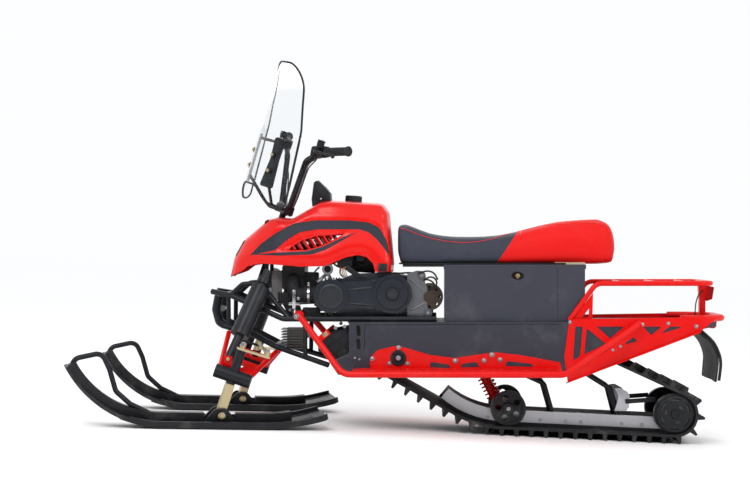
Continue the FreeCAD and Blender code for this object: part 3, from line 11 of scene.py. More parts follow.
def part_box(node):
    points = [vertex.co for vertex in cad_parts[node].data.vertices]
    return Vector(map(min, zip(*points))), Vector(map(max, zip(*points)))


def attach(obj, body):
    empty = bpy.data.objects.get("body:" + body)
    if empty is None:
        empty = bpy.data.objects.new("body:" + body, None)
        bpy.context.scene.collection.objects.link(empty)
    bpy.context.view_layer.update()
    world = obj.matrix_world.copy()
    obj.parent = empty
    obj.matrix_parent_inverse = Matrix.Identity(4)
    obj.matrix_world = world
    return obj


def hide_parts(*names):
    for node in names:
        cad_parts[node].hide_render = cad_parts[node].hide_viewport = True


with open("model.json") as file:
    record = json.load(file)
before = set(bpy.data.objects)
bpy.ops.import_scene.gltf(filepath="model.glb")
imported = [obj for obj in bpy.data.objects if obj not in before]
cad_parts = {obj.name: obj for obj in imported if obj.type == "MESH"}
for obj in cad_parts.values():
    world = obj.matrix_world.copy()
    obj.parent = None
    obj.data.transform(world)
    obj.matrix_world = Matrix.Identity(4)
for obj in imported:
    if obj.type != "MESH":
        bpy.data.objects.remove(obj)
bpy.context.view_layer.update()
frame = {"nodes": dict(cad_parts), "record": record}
SLOTS = {row["node"]: row["material_slot"] for row in frame["record"]["subparts"]}

# Frames of the machine, in metres. The chassis stands nose down about its tail, the bar and the
# skis are turned as in the photo.
NOSE_DOWN = math.radians(2.6)
TAIL_X = -1.057
ORIGIN_X = -0.014
RAKE = math.radians(19)
BAR_TURN = math.radians(25)
SKI_TURN = math.radians(19)


def move(x, y, z):
    """Matrix of a shift."""
    return Matrix.Translation((x, y, z))


def turn(axis, angle):
    """Matrix of a turn about a named axis."""
    return Matrix.Rotation(angle, 4, axis)


GROUND = move(ORIGIN_X, 0, 0)
CHASSIS = GROUND @ move(TAIL_X, 0, 0) @ turn("Y", NOSE_DOWN) @ move(-TAIL_X, 0, 0)
STEERING = CHASSIS @ move(0.486, 0, 0.897) @ turn("Y", -RAKE) @ turn("Z", BAR_TURN)


def leg_frame(side):
    """Frame of a kingpin: side is 1 for left and -1 for right."""
    return CHASSIS @ move(0.646, side * 0.370, 0.276) @ turn("Y", -RAKE) @ turn("Z", SKI_TURN)


def mm(*values):
    """Millimetres to metres."""
    return Vector([value / 1000 for value in values])


def at(x, y, z):
    """Place on the chassis, in millimetres."""
    return CHASSIS @ mm(x, y, z)


def on_bar(x, y, z):
    """Place on the steering, in millimetres."""
    return STEERING @ mm(x, y, z)


def ground(x, y, z):
    """Place in the frame of the floor, in millimetres."""
    return GROUND @ mm(x, y, z)


def heading(x, y, z):
    """Direction in the chassis frame."""
    return CHASSIS.to_3x3() @ Vector((x, y, z))


def metres(rows):
    """Flat rows of millimetres in metres."""
    return [(x / 1000, z / 1000) for x, z in rows]


def circle(radius, count, steps=None, start=0.0):
    """Pairs round a circle of count steps, once round it unless steps says otherwise."""
    angles = [2 * math.pi * step / count + start for step in range(steps or count)]
    return [(radius * math.cos(angle), radius * math.sin(angle)) for angle in angles]


def spokes(radius, degrees):
    """Pairs on a circle at angles in degrees."""
    angles = [math.radians(angle) for angle in degrees]
    return [(radius * math.cos(angle), radius * math.sin(angle)) for angle in angles]


def new_object(name, bm):
    """Smooth-shaded object from a finished bmesh, which is freed."""
    mesh = bpy.data.meshes.new(name)
    bm.normal_update()
    bm.to_mesh(mesh)
    bm.free()
    obj = bpy.data.objects.new(name, mesh)
    bpy.context.scene.collection.objects.link(obj)
    for face in mesh.polygons:
        face.use_smooth = True
    return obj


def sharp_edges(obj, degrees):
    """Keep edges steeper than the angle sharp on a smooth-shaded piece."""
    obj.data.set_sharp_from_angle(angle=math.radians(degrees))


def bridge(bm, rings, caps=True):
    """Walls between closed rings of vertices, and a face over each end."""
    for low, high in zip(rings, rings[1:]):
        for step in range(len(low)):
            after = (step + 1) % len(low)
            bm.faces.new((low[step], low[after], high[after], high[step]))
    if caps:
        bm.faces.new(rings[0][::-1])
        bm.faces.new(rings[-1])


def add_lathe(bm, place, profile, steps):
    """Turned form about local z. Profile rows: radius, height."""
    rings = []
    for radius, height in profile:
        if radius < 1e-6:
            rings.append([bm.verts.new(place @ Vector((0, 0, height)))])
        else:
            rings.append([bm.verts.new(place @ Vector((x, y, height)))
                          for x, y in circle(radius, steps)])
    for low, high in zip(rings, rings[1:]):
        if len(low) > 1 and len(high) > 1:
            bridge(bm, [low, high], caps=False)
            continue
        for step in range(steps):
            after = (step + 1) % steps
            if len(high) > 1:
                bm.faces.new((low[0], high[after], high[step]))
            elif len(low) > 1:
                bm.faces.new((low[step], low[after], high[0]))
    if len(rings[0]) > 1:
        bm.faces.new(rings[0][::-1])
    if len(rings[-1]) > 1:
        bm.faces.new(rings[-1])


def pointing(spot, direction, spin=0.0):
    """Placement at a spot with local z along a direction."""
    turned = Vector(direction).to_track_quat("Z", "Y").to_matrix().to_4x4()
    return Matrix.Translation(Vector(spot)) @ turned @ turn("Z", spin)


def add_bolt(bm, spot, direction, across, spin=0.3, washer=True, round_head=False):
    """Fastener head standing on a surface, looking along the direction."""
    place = pointing(spot, direction, spin)
    base = -0.0006
    if washer:
        ring = across * 0.62
        add_lathe(bm, place, [(ring, base), (ring, 0.0009), (ring - 0.0005, 0.0013)], 20)
        base = 0.0012
    if round_head:
        half = across / 2
        add_lathe(bm, place, [(half, base), (half, base + half * 0.45),
                              (half * 0.8, base + half * 0.85), (half * 0.36, base + half),
                              (half * 0.36, base + half * 0.6)], 18)
        return
    half = across / 2 / math.cos(math.pi / 6)
    high = across * 0.55
    add_lathe(bm, place, [(half, base), (half, base + high * 0.8), (half * 0.86, base + high)], 6)
    add_lathe(bm, place, [(half * 0.5, base + high * 0.9), (half * 0.5, base + high + 0.0012),
                          (half * 0.42, base + high + 0.0018)], 12)


def corner_arc(before, here, after, reach, share, steps=6):
    """Arc that cuts a corner, reaching along its two sides by no more than a share of them."""
    back = before - here
    ahead = after - here
    reach = min(reach, back.length * share, ahead.length * share)
    first = here + back.normalized() * reach
    last = here + ahead.normalized() * reach
    shares = [step / steps for step in range(steps + 1)]
    return [first.lerp(here, t).lerp(here.lerp(last, t), t) for t in shares]


def rounded_path(points, radius, steps=6):
    """Path points with each corner turned into an arc."""
    points = [Vector(point) for point in points]
    path = points[:1]
    for before, here, after in zip(points, points[1:], points[2:]):
        path += corner_arc(before, here, after, radius, 0.48, steps)
    return path + points[-1:]


def add_tube(bm, path, radius, steps, caps=True):
    """Round section swept on a path. Radius is a number or one for each point."""
    path = [Vector(point) for point in path]
    radii = radius if isinstance(radius, (list, tuple)) else [radius] * len(path)
    normal = (path[1] - path[0]).normalized().orthogonal().normalized()
    rings = []
    for index, spot in enumerate(path):
        if index == 0:
            along = path[1] - path[0]
        elif index == len(path) - 1:
            along = path[-1] - path[-2]
        else:
            along = (path[index + 1] - spot).normalized() + (spot - path[index - 1]).normalized()
        along.normalize()
        normal = (normal - along * normal.dot(along)).normalized()
        side = along.cross(normal)
        rings.append([bm.verts.new(spot + (normal * x + side * y) * radii[index])
                      for x, y in circle(1, steps)])
    bridge(bm, rings, caps)


def add_hose(bm, spots, bend, radius, steps, place=at):
    """Tube with rounded corners through places in millimetres."""
    add_tube(bm, rounded_path([place(*spot) for spot in spots], bend), radius, steps)


def bevelled(bm, edges, round_by):
    """Round edges off and return the new vertices."""
    made = bmesh.ops.bevel(bm, geom=edges, offset=round_by, segments=2, profile=0.5,
                           affect="EDGES", clamp_overlap=True)
    return set(made["verts"])


def add_box(bm, place, low, high, round_by):
    """Box between two local corners, with its edges rounded."""
    verts = bmesh.ops.create_cube(bm, size=1)["verts"]
    low, high = Vector(low), Vector(high)
    size = high - low
    for vert in verts:
        vert.co = Vector([low[i] + (vert.co[i] + 0.5) * size[i] for i in range(3)])
    edges = list({edge for vert in verts for edge in vert.link_edges})
    stack = list(bevelled(bm, edges, round_by) | {vert for vert in verts if vert.is_valid})
    seen = set()
    while stack:
        vert = stack.pop()
        if vert not in seen:
            seen.add(vert)
            stack += [edge.other_vert(vert) for edge in vert.link_edges]
    for vert in seen:
        vert.co = place @ vert.co


def add_block(bm, corner, size, round_by):
    """Box on the chassis from its low corner and its size, in metres."""
    add_box(bm, CHASSIS @ move(*corner), (0, 0, 0), size, round_by)


def add_bar(bm, first, last, wide, thick, flat_to=(0, 1, 0), round_by=0.001):
    """Flat bar between two points, its broad face looking along flat_to."""
    first, last = Vector(first), Vector(last)
    along = (last - first).normalized()
    face = Vector(flat_to)
    face = (face - along * face.dot(along)).normalized()
    side = along.cross(face)
    place = Matrix((along, face, side)).transposed().to_4x4()
    place.translation = first
    add_box(bm, place, (0, -thick / 2, -wide / 2), ((last - first).length, thick / 2, wide / 2),
            round_by)


def add_plate(bm, place, outline, thick, round_by=0.0):
    """Flat plate from a local xz outline, thick along local y about 0."""
    low = [bm.verts.new(Vector((x, -thick / 2, z))) for x, z in outline]
    high = [bm.verts.new(Vector((x, thick / 2, z))) for x, z in outline]
    faces = [bm.faces.new(low), bm.faces.new(high[::-1])]
    for index in range(len(outline)):
        after = (index + 1) % len(outline)
        bm.faces.new((low[after], low[index], high[index], high[after]))
    verts = low + high
    if round_by:
        made = bevelled(bm, [edge for face in faces for edge in face.edges], round_by)
        verts = made | {vert for vert in verts if vert.is_valid}
    for vert in verts:
        vert.co = place @ vert.co


class Value:
    """A shader number, so that node maths reads as sums."""

    def __init__(self, paint, socket):
        self.paint = paint
        self.socket = socket

    def __add__(self, other):
        return self.paint.maths("ADD", self, other)

    def __sub__(self, other):
        return self.paint.maths("SUBTRACT", self, other)

    def __mul__(self, other):
        return self.paint.maths("MULTIPLY", self, other)


class Paint:
    """A procedural material that is worked out in the machine's own coordinates."""

    def __init__(self, name):
        self.material = bpy.data.materials.new(name)
        self.material.use_nodes = True
        self.nodes = self.material.node_tree.nodes
        self.links = self.material.node_tree.links
        self.shader = self.nodes["Principled BSDF"]
        self.place = self.node("TexCoord", {}, "Object")
        self.x = self.node("SeparateXYZ", {0: self.place}, "X")
        self.z = self.node("SeparateXYZ", {0: self.place}, "Z")

    def give(self, node_input, value):
        """Set a node's input to a number or link a value to it."""
        if isinstance(value, Value):
            self.links.new(value.socket, node_input)
        else:
            node_input.default_value = value

    def node(self, kind, inputs, output=0, **settings):
        """Value of a new shader node with these settings and inputs."""
        node = self.nodes.new("ShaderNode" + kind)
        for name, value in settings.items():
            setattr(node, name, value)
        for key, value in inputs.items():
            self.give(node.inputs[key], value)
        return Value(self, node.outputs[output])

    def maths(self, operation, a, b):
        """One sum of two numbers or values."""
        return self.node("Math", {0: a, 1: b}, operation=operation)

    def clamp(self, value):
        """Value held between 0 and 1."""
        return self.node("Clamp", {0: value})

    def rise(self, value, low, high):
        """Smooth step from 0 at low to 1 at high."""
        return self.node("MapRange", {"Value": value, "From Min": low, "From Max": high},
                         interpolation_type="SMOOTHSTEP")

    def noise(self, scale, detail, rough=0.5, stretch=None):
        """Cloudy pattern from 0 to 1."""
        place = self.place
        if stretch:
            place = self.node("VectorMath", {0: place, 1: stretch}, operation="MULTIPLY")
        return self.node("TexNoise", {"Vector": place, "Scale": scale, "Detail": detail,
                                      "Roughness": rough}, "Fac")

    def cells(self, scale, feature="F1"):
        """Pebbled pattern: distance from cell centres."""
        return self.node("TexVoronoi", {"Vector": self.place, "Scale": scale}, "Distance",
                         feature=feature)

    def mix(self, share, first, second):
        """Colour between two, each a tuple or a value."""
        first, second = [(*value, 1.0) if isinstance(value, tuple) else value
                         for value in (first, second)]
        return self.node("Mix", {0: share, 6: first, 7: second}, 2, data_type="RGBA")

    def bump(self, height, distance, strength):
        """Surface relief, on top of any that is there already."""
        inputs = {"Strength": strength, "Distance": distance, "Height": height}
        normal = self.shader.inputs["Normal"]
        if normal.links:
            inputs["Normal"] = Value(self, normal.links[0].from_socket)
        self.give(normal, self.node("Bump", inputs))

    def put(self, **values):
        """Give the shader's inputs their values, by short names."""
        names = {"color": "Base Color", "rough": "Roughness", "metal": "Metallic",
                 "coat": "Coat Weight", "coat_rough": "Coat Roughness", "sheen": "Sheen Weight",
                 "sheen_rough": "Sheen Roughness", "specular": "Specular IOR Level", "ior": "IOR",
                 "through": "Transmission Weight"}
        for key, value in values.items():
            if key == "color" and isinstance(value, tuple):
                value = (*value, 1.0)
            self.give(self.shader.inputs[names[key]], value)


def dusty(paint, color, amount, dust=(0.62, 0.6, 0.57), low=0.1, high=0.8):
    """Colour with a thin film of road dust that gathers low down and in patches."""
    patch = paint.noise(9, 4, 0.6)
    grain = paint.noise(160, 2, 0.7)
    height = paint.rise(paint.z, high, low)
    share = paint.clamp(paint.rise(patch, 0.45, 0.8) * 0.5 + grain * 0.4 - 0.22)
    return paint.mix(share * (height * 0.85 + 0.15) * amount * 0.5, color, dust)


def gloss_paint(name, color, dark, amount, rough=0.24, orange_peel=0.00008, coat=0.06):
    """Powder-coated metal: slight orange peel, uneven gloss, faint dust."""
    paint = Paint(name)
    tone = paint.mix(paint.noise(5, 3), dark, color)
    paint.put(color=dusty(paint, tone, amount), rough=paint.noise(40, 3) * 0.16 + rough,
              coat=coat, coat_rough=0.15, specular=0.22)
    paint.bump(paint.noise(520, 1), orange_peel, 0.5)
    return paint.material


def moulded(name, color, dark, rough, grain=1100, depth=0.00008, amount=0.35, coat=0.0):
    """Moulded plastic: fine grain, mottled gloss and faint scuffs."""
    paint = Paint(name)
    scuff = paint.rise(paint.noise(38, 6, 0.72, (1, 1, 7)), 0.62, 0.72)
    tone = paint.mix(paint.noise(7, 4), dark, color)
    paint.put(color=dusty(paint, tone, amount), coat=coat, coat_rough=0.1, specular=0.3,
              rough=scuff * 0.14 + paint.noise(24, 3) * 0.12 + rough)
    paint.bump(paint.cells(grain), depth, 0.4)
    return paint.material


def bare_metal(name, color, dark, rough, amount, metal=1.0):
    """Plated or cast metal with cloudy tone and short scratches."""
    paint = Paint(name)
    cloud = paint.noise(12, 5, 0.6)
    scratch = paint.rise(paint.noise(90, 6, 0.75), 0.6, 0.75)
    tone = paint.mix(cloud, dark, color)
    paint.put(color=dusty(paint, tone, amount), metal=metal,
              rough=cloud * 0.18 + scratch * 0.1 + rough - 0.08)
    paint.bump(paint.noise(240, 3), 0.0001, 0.35)
    return paint.material


def rubbery(name, color, dark, rough=0.62):
    """Matt rubber or cable sheath with more dust than the rest."""
    paint = Paint(name)
    tone = paint.mix(paint.noise(14, 5, 0.65), dark, color)
    paint.put(color=dusty(paint, tone, 0.5, (0.55, 0.55, 0.56), 0.0, 0.5),
              rough=paint.noise(30, 4) * 0.2 + rough, specular=0.35)
    paint.bump(paint.noise(700, 2), 0.00015, 0.5)
    return paint.material


# Ends of the seam between the seat's two colours, in millimetres.
SEAM_LOW = (-371, 0, 702)
SEAM_HIGH = (-462, 0, 838)


def vinyl(name, color, dark, rear):
    """Seat cover: fine pebbled vinyl, slate ahead of a sloping seam and red behind it."""
    paint = Paint(name)
    low = at(*SEAM_LOW)
    high = at(*SEAM_HIGH)
    lean = (high.x - low.x) / (high.z - low.z)
    behind = paint.clamp((paint.z * lean + (low.x - low.z * lean) - paint.x) * 2500)
    tone = paint.mix(paint.noise(4, 4, 0.6), dark, color)
    tone = paint.mix(behind, tone, paint.mix(paint.noise(5, 3), RED_DARK, rear))
    paint.put(color=dusty(paint, tone, 0.10, low=0.4, high=1.3),
              rough=paint.noise(16, 3) * 0.16 + 0.5, sheen=0.02, sheen_rough=0.5, specular=0.22)
    paint.bump(paint.cells(560, "SMOOTH_F1"), 0.00025, 0.45)
    paint.bump(paint.noise(26, 4, 0.6, (1, 0.5, 1.6)), 0.0012, 0.2)
    return paint.material


def clear_sheet(name, tint):
    """Clear moulding with a light haze."""
    paint = Paint(name)
    haze = paint.rise(paint.noise(24, 6, 0.7), 0.55, 0.8)
    paint.put(color=tint, rough=haze * 0.1 + 0.04, through=1.0, ior=1.15)
    return paint.material


# Finishes: the record's material slots, and more for pieces that are only in the scene.
RED = (0.74, 0.003, 0.0015)
RED_DARK = (0.66, 0.002, 0.001)
MATERIALS = {
    "red_paint": gloss_paint("red_powder_coat", RED, RED_DARK, amount=0.1),
    "black_paint": gloss_paint("black_powder_coat", (0.011, 0.013, 0.018), (0.006, 0.007, 0.010),
                               0.16, 0.34),
    "slate_sheet": moulded("slate_sheet_coat", (0.034, 0.037, 0.052), (0.028, 0.030, 0.043), 0.42,
                           900, 0.0001, 0.3),
    "slate_plastic": moulded("slate_box_plastic", (0.040, 0.043, 0.060), (0.033, 0.035, 0.050),
                             0.46),
    "red_plastic": moulded("red_body_plastic", (0.76, 0.004, 0.0015), (0.68, 0.003, 0.001), 0.26,
                           600, 0.00004, 0.05, 0.08),
    "black_plastic": moulded("black_moulding", (0.010, 0.011, 0.014), (0.006, 0.007, 0.009), 0.42),
    "seat_vinyl": vinyl("seat_cover", (0.038, 0.043, 0.062), (0.030, 0.034, 0.050), RED),
    "rubber": rubbery("black_rubber", (0.011, 0.012, 0.014), (0.006, 0.006, 0.007)),
    "rail_alloy": bare_metal("rail_aluminium", (0.62, 0.63, 0.66), (0.42, 0.43, 0.46), 0.4, 0.5),
    "engine_alloy": bare_metal("engine_casting", (0.040, 0.042, 0.050), (0.026, 0.028, 0.034), 0.42,
                               0.35, metal=0.6),
    "fin_alloy": bare_metal("fin_casting", (0.20, 0.19, 0.18), (0.12, 0.115, 0.11), 0.45, 0.4),
    "zinc": bare_metal("yellow_zinc", (0.62, 0.52, 0.30), (0.46, 0.38, 0.24), 0.36, 0.3),
    "lead_grey": rubbery("grey_lead", (0.2, 0.2, 0.22), (0.14, 0.14, 0.16), 0.45),
    "lead_yellow": rubbery("yellow_lead", (0.8, 0.46, 0.01), (0.66, 0.36, 0.01), 0.4),
    "cover_black": gloss_paint("belt_cover_black", (0.020, 0.024, 0.034), (0.013, 0.016, 0.024),
                               0.1, 0.16, 0.00005, 0.8),
    "casing_alloy": bare_metal("drive_casing", (0.16, 0.165, 0.18), (0.10, 0.105, 0.115), 0.4,
                               0.3, metal=0.6),
    "disc_dark": bare_metal("worn_disc", (0.10, 0.075, 0.06), (0.05, 0.04, 0.035), 0.42, 0.2),
    # Near-black finish of flat patches that stand in for openings and the lock's pocket: painted
    # shade.
    "painted_shade": moulded("painted_shade_opening", (0.003, 0.003, 0.003), (0.002, 0.002, 0.002), 0.9),
    "foam": moulded("seat_foam", (0.62, 0.52, 0.38), (0.52, 0.43, 0.30), 0.85, 500, 0.0003),
    "wheel_grey": moulded("wheel_gap", (0.10, 0.10, 0.11), (0.06, 0.06, 0.07), 0.7),
    "panel_grey": moulded("grey_panel_plastic", (0.30, 0.29, 0.29), (0.22, 0.21, 0.22), 0.5),
    "brass": bare_metal("lock_brass", (0.72, 0.56, 0.24), (0.5, 0.38, 0.16), 0.3, 0.1),
    "steel": bare_metal("plain_steel", (0.5, 0.5, 0.51), (0.33, 0.33, 0.34), 0.32, 0.2),
    "disc_steel": bare_metal("disc_steel", (0.55, 0.55, 0.56), (0.4, 0.4, 0.41), 0.25, 0.1),
    "exhaust_steel": moulded("exhaust_black", (0.02, 0.02, 0.02), (0.035, 0.03, 0.028), 0.6),
    "ski_plastic": moulded("ski_plastic", (0.010, 0.011, 0.014), (0.006, 0.006, 0.008), 0.34, 700),
    "clear_sheet": clear_sheet("screen_sheet", (0.93, 0.95, 0.96)),
    "lens": clear_sheet("lamp_lens", (0.9, 0.92, 0.94)),
    "red_lens": clear_sheet("tail_lens", (0.30, 0.01, 0.01)),
}
STRIPE = moulded("slate_stripe", (0.020, 0.024, 0.036), (0.016, 0.019, 0.029), 0.5, 900, 0.00003,
                 0.06)
# Nodes that look unlike the rest of their slot.
OWN_FINISH = {"variator_cover": "cover_black", "brake_disc": "disc_dark"}
for node, obj in frame["nodes"].items():
    finish = MATERIALS[OWN_FINISH.get(node, SLOTS[node])]
    if not obj.material_slots:
        obj.data.materials.append(finish)
    for slot_of_node in obj.material_slots:
        slot_of_node.material = finish


def dress(obj, slot, body, *replaced):
    """Give a new piece its finish and its body."""
    obj.data.materials.clear()
    obj.data.materials.append(MATERIALS[slot])
    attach(obj, body)
    if replaced:
        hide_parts(*replaced)


def piece(name, bm, slot, body="chassis", replaced=None, sharp=32, outward=False):
    """Finished piece: edges steeper than the angle stay sharp, outward sets its normals anew."""
    if outward:
        bmesh.ops.recalc_face_normals(bm, faces=bm.faces)
    obj = new_object(name, bm)
    if sharp:
        sharp_edges(obj, sharp)
    dress(obj, slot, body, *([replaced] if replaced else []))


def rounded_outline(rows, spacing, closed=True):
    """Points along a flat outline. Columns: x, z, corner radius."""
    corners = [Vector(row[:2]) for row in rows]
    points = []
    for index, here in enumerate(corners):
        radius = rows[index][2]
        if not radius or (not closed and index in (0, len(rows) - 1)):
            points.append(here)
            continue
        before, after = corners[index - 1], corners[(index + 1) % len(rows)]
        half = (before - here).angle(after - here) / 2
        points += corner_arc(before, here, after, radius / math.tan(half), 0.49)
    spread = []
    for first, last in zip(points, points[1:] + points[:1] if closed else points[1:]):
        pieces = max(1, round((last - first).length / spacing))
        spread += [first.lerp(last, step / pieces) for step in range(pieces)]
    return spread if closed else spread + points[-1:]


def soft_line(rows, radius, spacing):
    """Open chain of points with every corner rounded alike. Columns: x, z."""
    return rounded_outline([(x, z, radius) for x, z in rows], spacing, closed=False)


def inside(point, polygon):
    """Whether a flat point is in a closed outline."""
    x, z = point
    odd = False
    before = polygon[-1]
    for here in polygon:
        if (here[1] > z) != (before[1] > z):
            cross = (before[0] - here[0]) * (z - here[1]) / (before[1] - here[1]) + here[0]
            if x < cross:
                odd = not odd
        before = here
    return odd


def line_gap(point, line):
    """Distance from a flat point to a chain of points."""
    best = 1e9
    for first, last in zip(line, line[1:]):
        along = last - first
        share = (point - first).dot(along) / max(along.length_squared, 1e-9)
        best = min(best, (point - first - along * min(1, max(0, share))).length)
    return best


def soft_step(value, low, high):
    """Smooth step from 0 at low to 1 at high."""
    t = min(1.0, max(0.0, (value - low) / (high - low)))
    return t * t * (3 - 2 * t)


# Fairing on its side, in millimetres: the covered part from the nose foot over the top to the
# rear foot, the open lower edge and what is drawn on it. Columns: x, z, corner radius.
HOOD_COVER = [(694, 652, 0), (680, 725, 30), (640, 796, 40), (538, 881, 40), (499, 889, 20),
              (441, 884, 20), (331, 950, 60), (285, 956, 24), (80, 944, 36), (54, 905, 30),
              (36, 705, 10), (40, 670, 0)]
HOOD_LOW = [(40, 670, 0), (108, 671, 8), (116, 704, 14), (140, 727, 18), (172, 738, 30),
            (226, 727, 30), (300, 694, 60), (402, 692, 60), (550, 704, 40), (612, 694, 20),
            (640, 672, 10), (694, 652, 0)]
BROAD_STRIPE = [(606, 735, 0), (560, 782, 0), (499, 824, 30), (428, 862, 60), (347, 874, 60),
                (214, 874, 80), (134, 866, 60), (91, 845, 40), (62, 793, 60), (49, 729, 0),
                (72, 762, 0), (100, 797, 60), (134, 826, 40), (171, 838, 40), (333, 838, 60),
                (404, 827, 60), (451, 798, 60), (500, 757, 0), (556, 745, 0)]
THIN_STRIPE = [(600, 739, 0), (499, 747, 60), (376, 753, 50), (309, 772, 60), (233, 808, 60),
               (176, 829, 0), (224, 801, 60), (300, 758, 60), (357, 739, 50), (480, 735, 60)]
VENT = [(447, 758, 0), (433, 772, 6), (390, 797, 30), (333, 812, 20), (233, 819, 0),
        (262, 802, 10), (328, 771, 30), (380, 757, 20)]
NOSE_STRIPE = [(650, 828, 0), (607, 853, 40), (549, 871, 30), (515, 883, 0), (549, 866, 30),
               (604, 847, 40)]
SHOULDER = [(618, 742, 0), (560, 800, 0), (499, 842, 30), (428, 880, 60), (347, 891, 60),
            (214, 891, 80), (128, 883, 60), (80, 858, 40), (50, 800, 40), (40, 720, 0)]
POCKET = [(560, 748), (500, 760), (451, 796), (404, 824), (333, 835), (171, 835), (233, 808),
          (309, 772), (376, 755), (499, 749)]
# Half width by x at the height PLAN_Z, drawn in above it by PLAN_DRAW for each millimetre.
HOOD_PLAN = [(30, 180), (250, 215), (500, 215), (646, 150), (706, 82), (760, 20)]
PLAN_Z = 640
PLAN_DRAW = 0.249
# Rise of the top over the side's upper edge, radius of that edge.
HOOD_CROWN = 7.0
HOOD_ROUND = 26.0
# Relief: crease along the shoulder, pocket round the vent, hem tucked in along the lower edge.
CREASE_HIGH, CREASE_WIDE = 4.5, 13
POCKET_DEEP, POCKET_SLOPE = 9, 16
HEM_DEEP, HEM_SLOPE = 12, 46
# Triangles of the side: their size, and how near a loose point may be to an outline.
FILL_STEP = 13.0
FILL_GAP = 3
# Sheets in metres: points closer than WELD are joined, thickness of skin and lens.
WELD = 0.0007
SKIN_THICK = 0.003
LENS_THICK = 0.0025
# Hole round the column, in the part above COLUMN_LOW. Window of the lamps in the nose.
COLUMN_FOOT = Vector((486, 0, 897))
COLUMN_HOLE = 46
COLUMN_LOW = 850
LAMP_LOW, LAMP_HIGH = 733, 793
LAMP_FRONT = 630
LAMP_PARTING = 16


def hood_half(x, z):
    """Half width of the fairing, with its plan's corners softened."""
    draw = (z - PLAN_Z) * PLAN_DRAW
    front_share = 1 if x > 600 else max(0, x - 500) / 100
    total = 0.0
    for step in range(-3, 4):
        place = min(max(x + step * 12 + draw * front_share, 30), 760)
        for (x0, y0), (x1, y1) in zip(HOOD_PLAN, HOOD_PLAN[1:]):
            if x0 <= place <= x1:
                total += y0 + (y1 - y0) * (place - x0) / (x1 - x0)
                break
    return total / 7 - draw


class Hood:
    """The fairing's outer surface, as one side sheet, its mirror and the sheet over the top."""

    def __init__(self):
        cover = rounded_outline(HOOD_COVER, 9, closed=False)
        self.cover = cover
        self.normals = []
        for index in range(len(cover)):
            along = cover[min(index + 1, len(cover) - 1)] - cover[max(index - 1, 0)]
            self.normals.append(Vector((along.y, -along.x)).normalized())
        self.edge = [here - normal * HOOD_CROWN for here, normal in zip(cover, self.normals)]
        self.low_line = rounded_outline(HOOD_LOW, 9, closed=False)
        self.polygon = self.edge + self.low_line[1:-1]
        self.vent = rounded_outline(VENT, 9)
        self.stripes = [rounded_outline(BROAD_STRIPE, 10), rounded_outline(THIN_STRIPE, 12),
                        rounded_outline(NOSE_STRIPE, 12)]
        self.shoulder = rounded_outline(SHOULDER, 12, closed=False)
        self.pocket = [Vector(row) for row in POCKET]

    def side_y(self, x, z, relief=True):
        """Half width with the rounded upper edge, the shoulder crease, pocket and tucked hem."""
        point = Vector((x, z))
        half = hood_half(x, z)
        gap = line_gap(point, self.edge)
        if gap < HOOD_ROUND:
            rest = HOOD_ROUND - gap
            half -= HOOD_ROUND - math.sqrt(max(0.0, HOOD_ROUND ** 2 - rest ** 2))
        if relief:
            ridge = line_gap(point, self.shoulder)
            half += CREASE_HIGH * math.exp(-(ridge / CREASE_WIDE) ** 2) * soft_step(gap, 4, 26)
            depth = line_gap(point, self.pocket + self.pocket[:1])
            if inside(point, self.pocket):
                half -= POCKET_DEEP * soft_step(depth, 0, POCKET_SLOPE)
            low = line_gap(point, self.low_line)
            half -= HEM_DEEP * (1 - soft_step(low, 0, HEM_SLOPE))
        return half

    def top_point(self, index, t):
        """Point over the top: t runs from -1 to 1 across it."""
        here = self.cover[index]
        edge = self.edge[index]
        half = self.side_y(edge.x, edge.y, relief=False)
        spot = here - self.normals[index] * HOOD_CROWN * t * t
        return Vector((spot.x, half * t, spot.y))

    def fill(self, outlines, extra):
        """Triangles over the side, with the outlines as edges in them."""
        border = self.polygon
        points = []
        edges = []
        for outline in [border] + outlines:
            start = len(points)
            points += outline
            edges += [(start + i, start + (i + 1) % len(outline)) for i in range(len(outline))]
        fixed = list(points)
        loose = list(extra)
        left, right = min(p.x for p in border), max(p.x for p in border)
        z, highest = min(p.y for p in border), max(p.y for p in border)
        row = 0
        while z < highest:
            x = left + (row % 2) * FILL_STEP / 2
            while x < right:
                loose.append(Vector((x, z)))
                x += FILL_STEP
            z += FILL_STEP * 0.87
            row += 1
        for spot in loose:
            gap = min((spot - other).length_squared for other in fixed)
            if gap >= FILL_GAP ** 2 and inside(spot, border):
                points.append(spot)
        filled = delaunay_2d_cdt(points, edges, [], 0, 1e-4)
        return filled[0], filled[2]


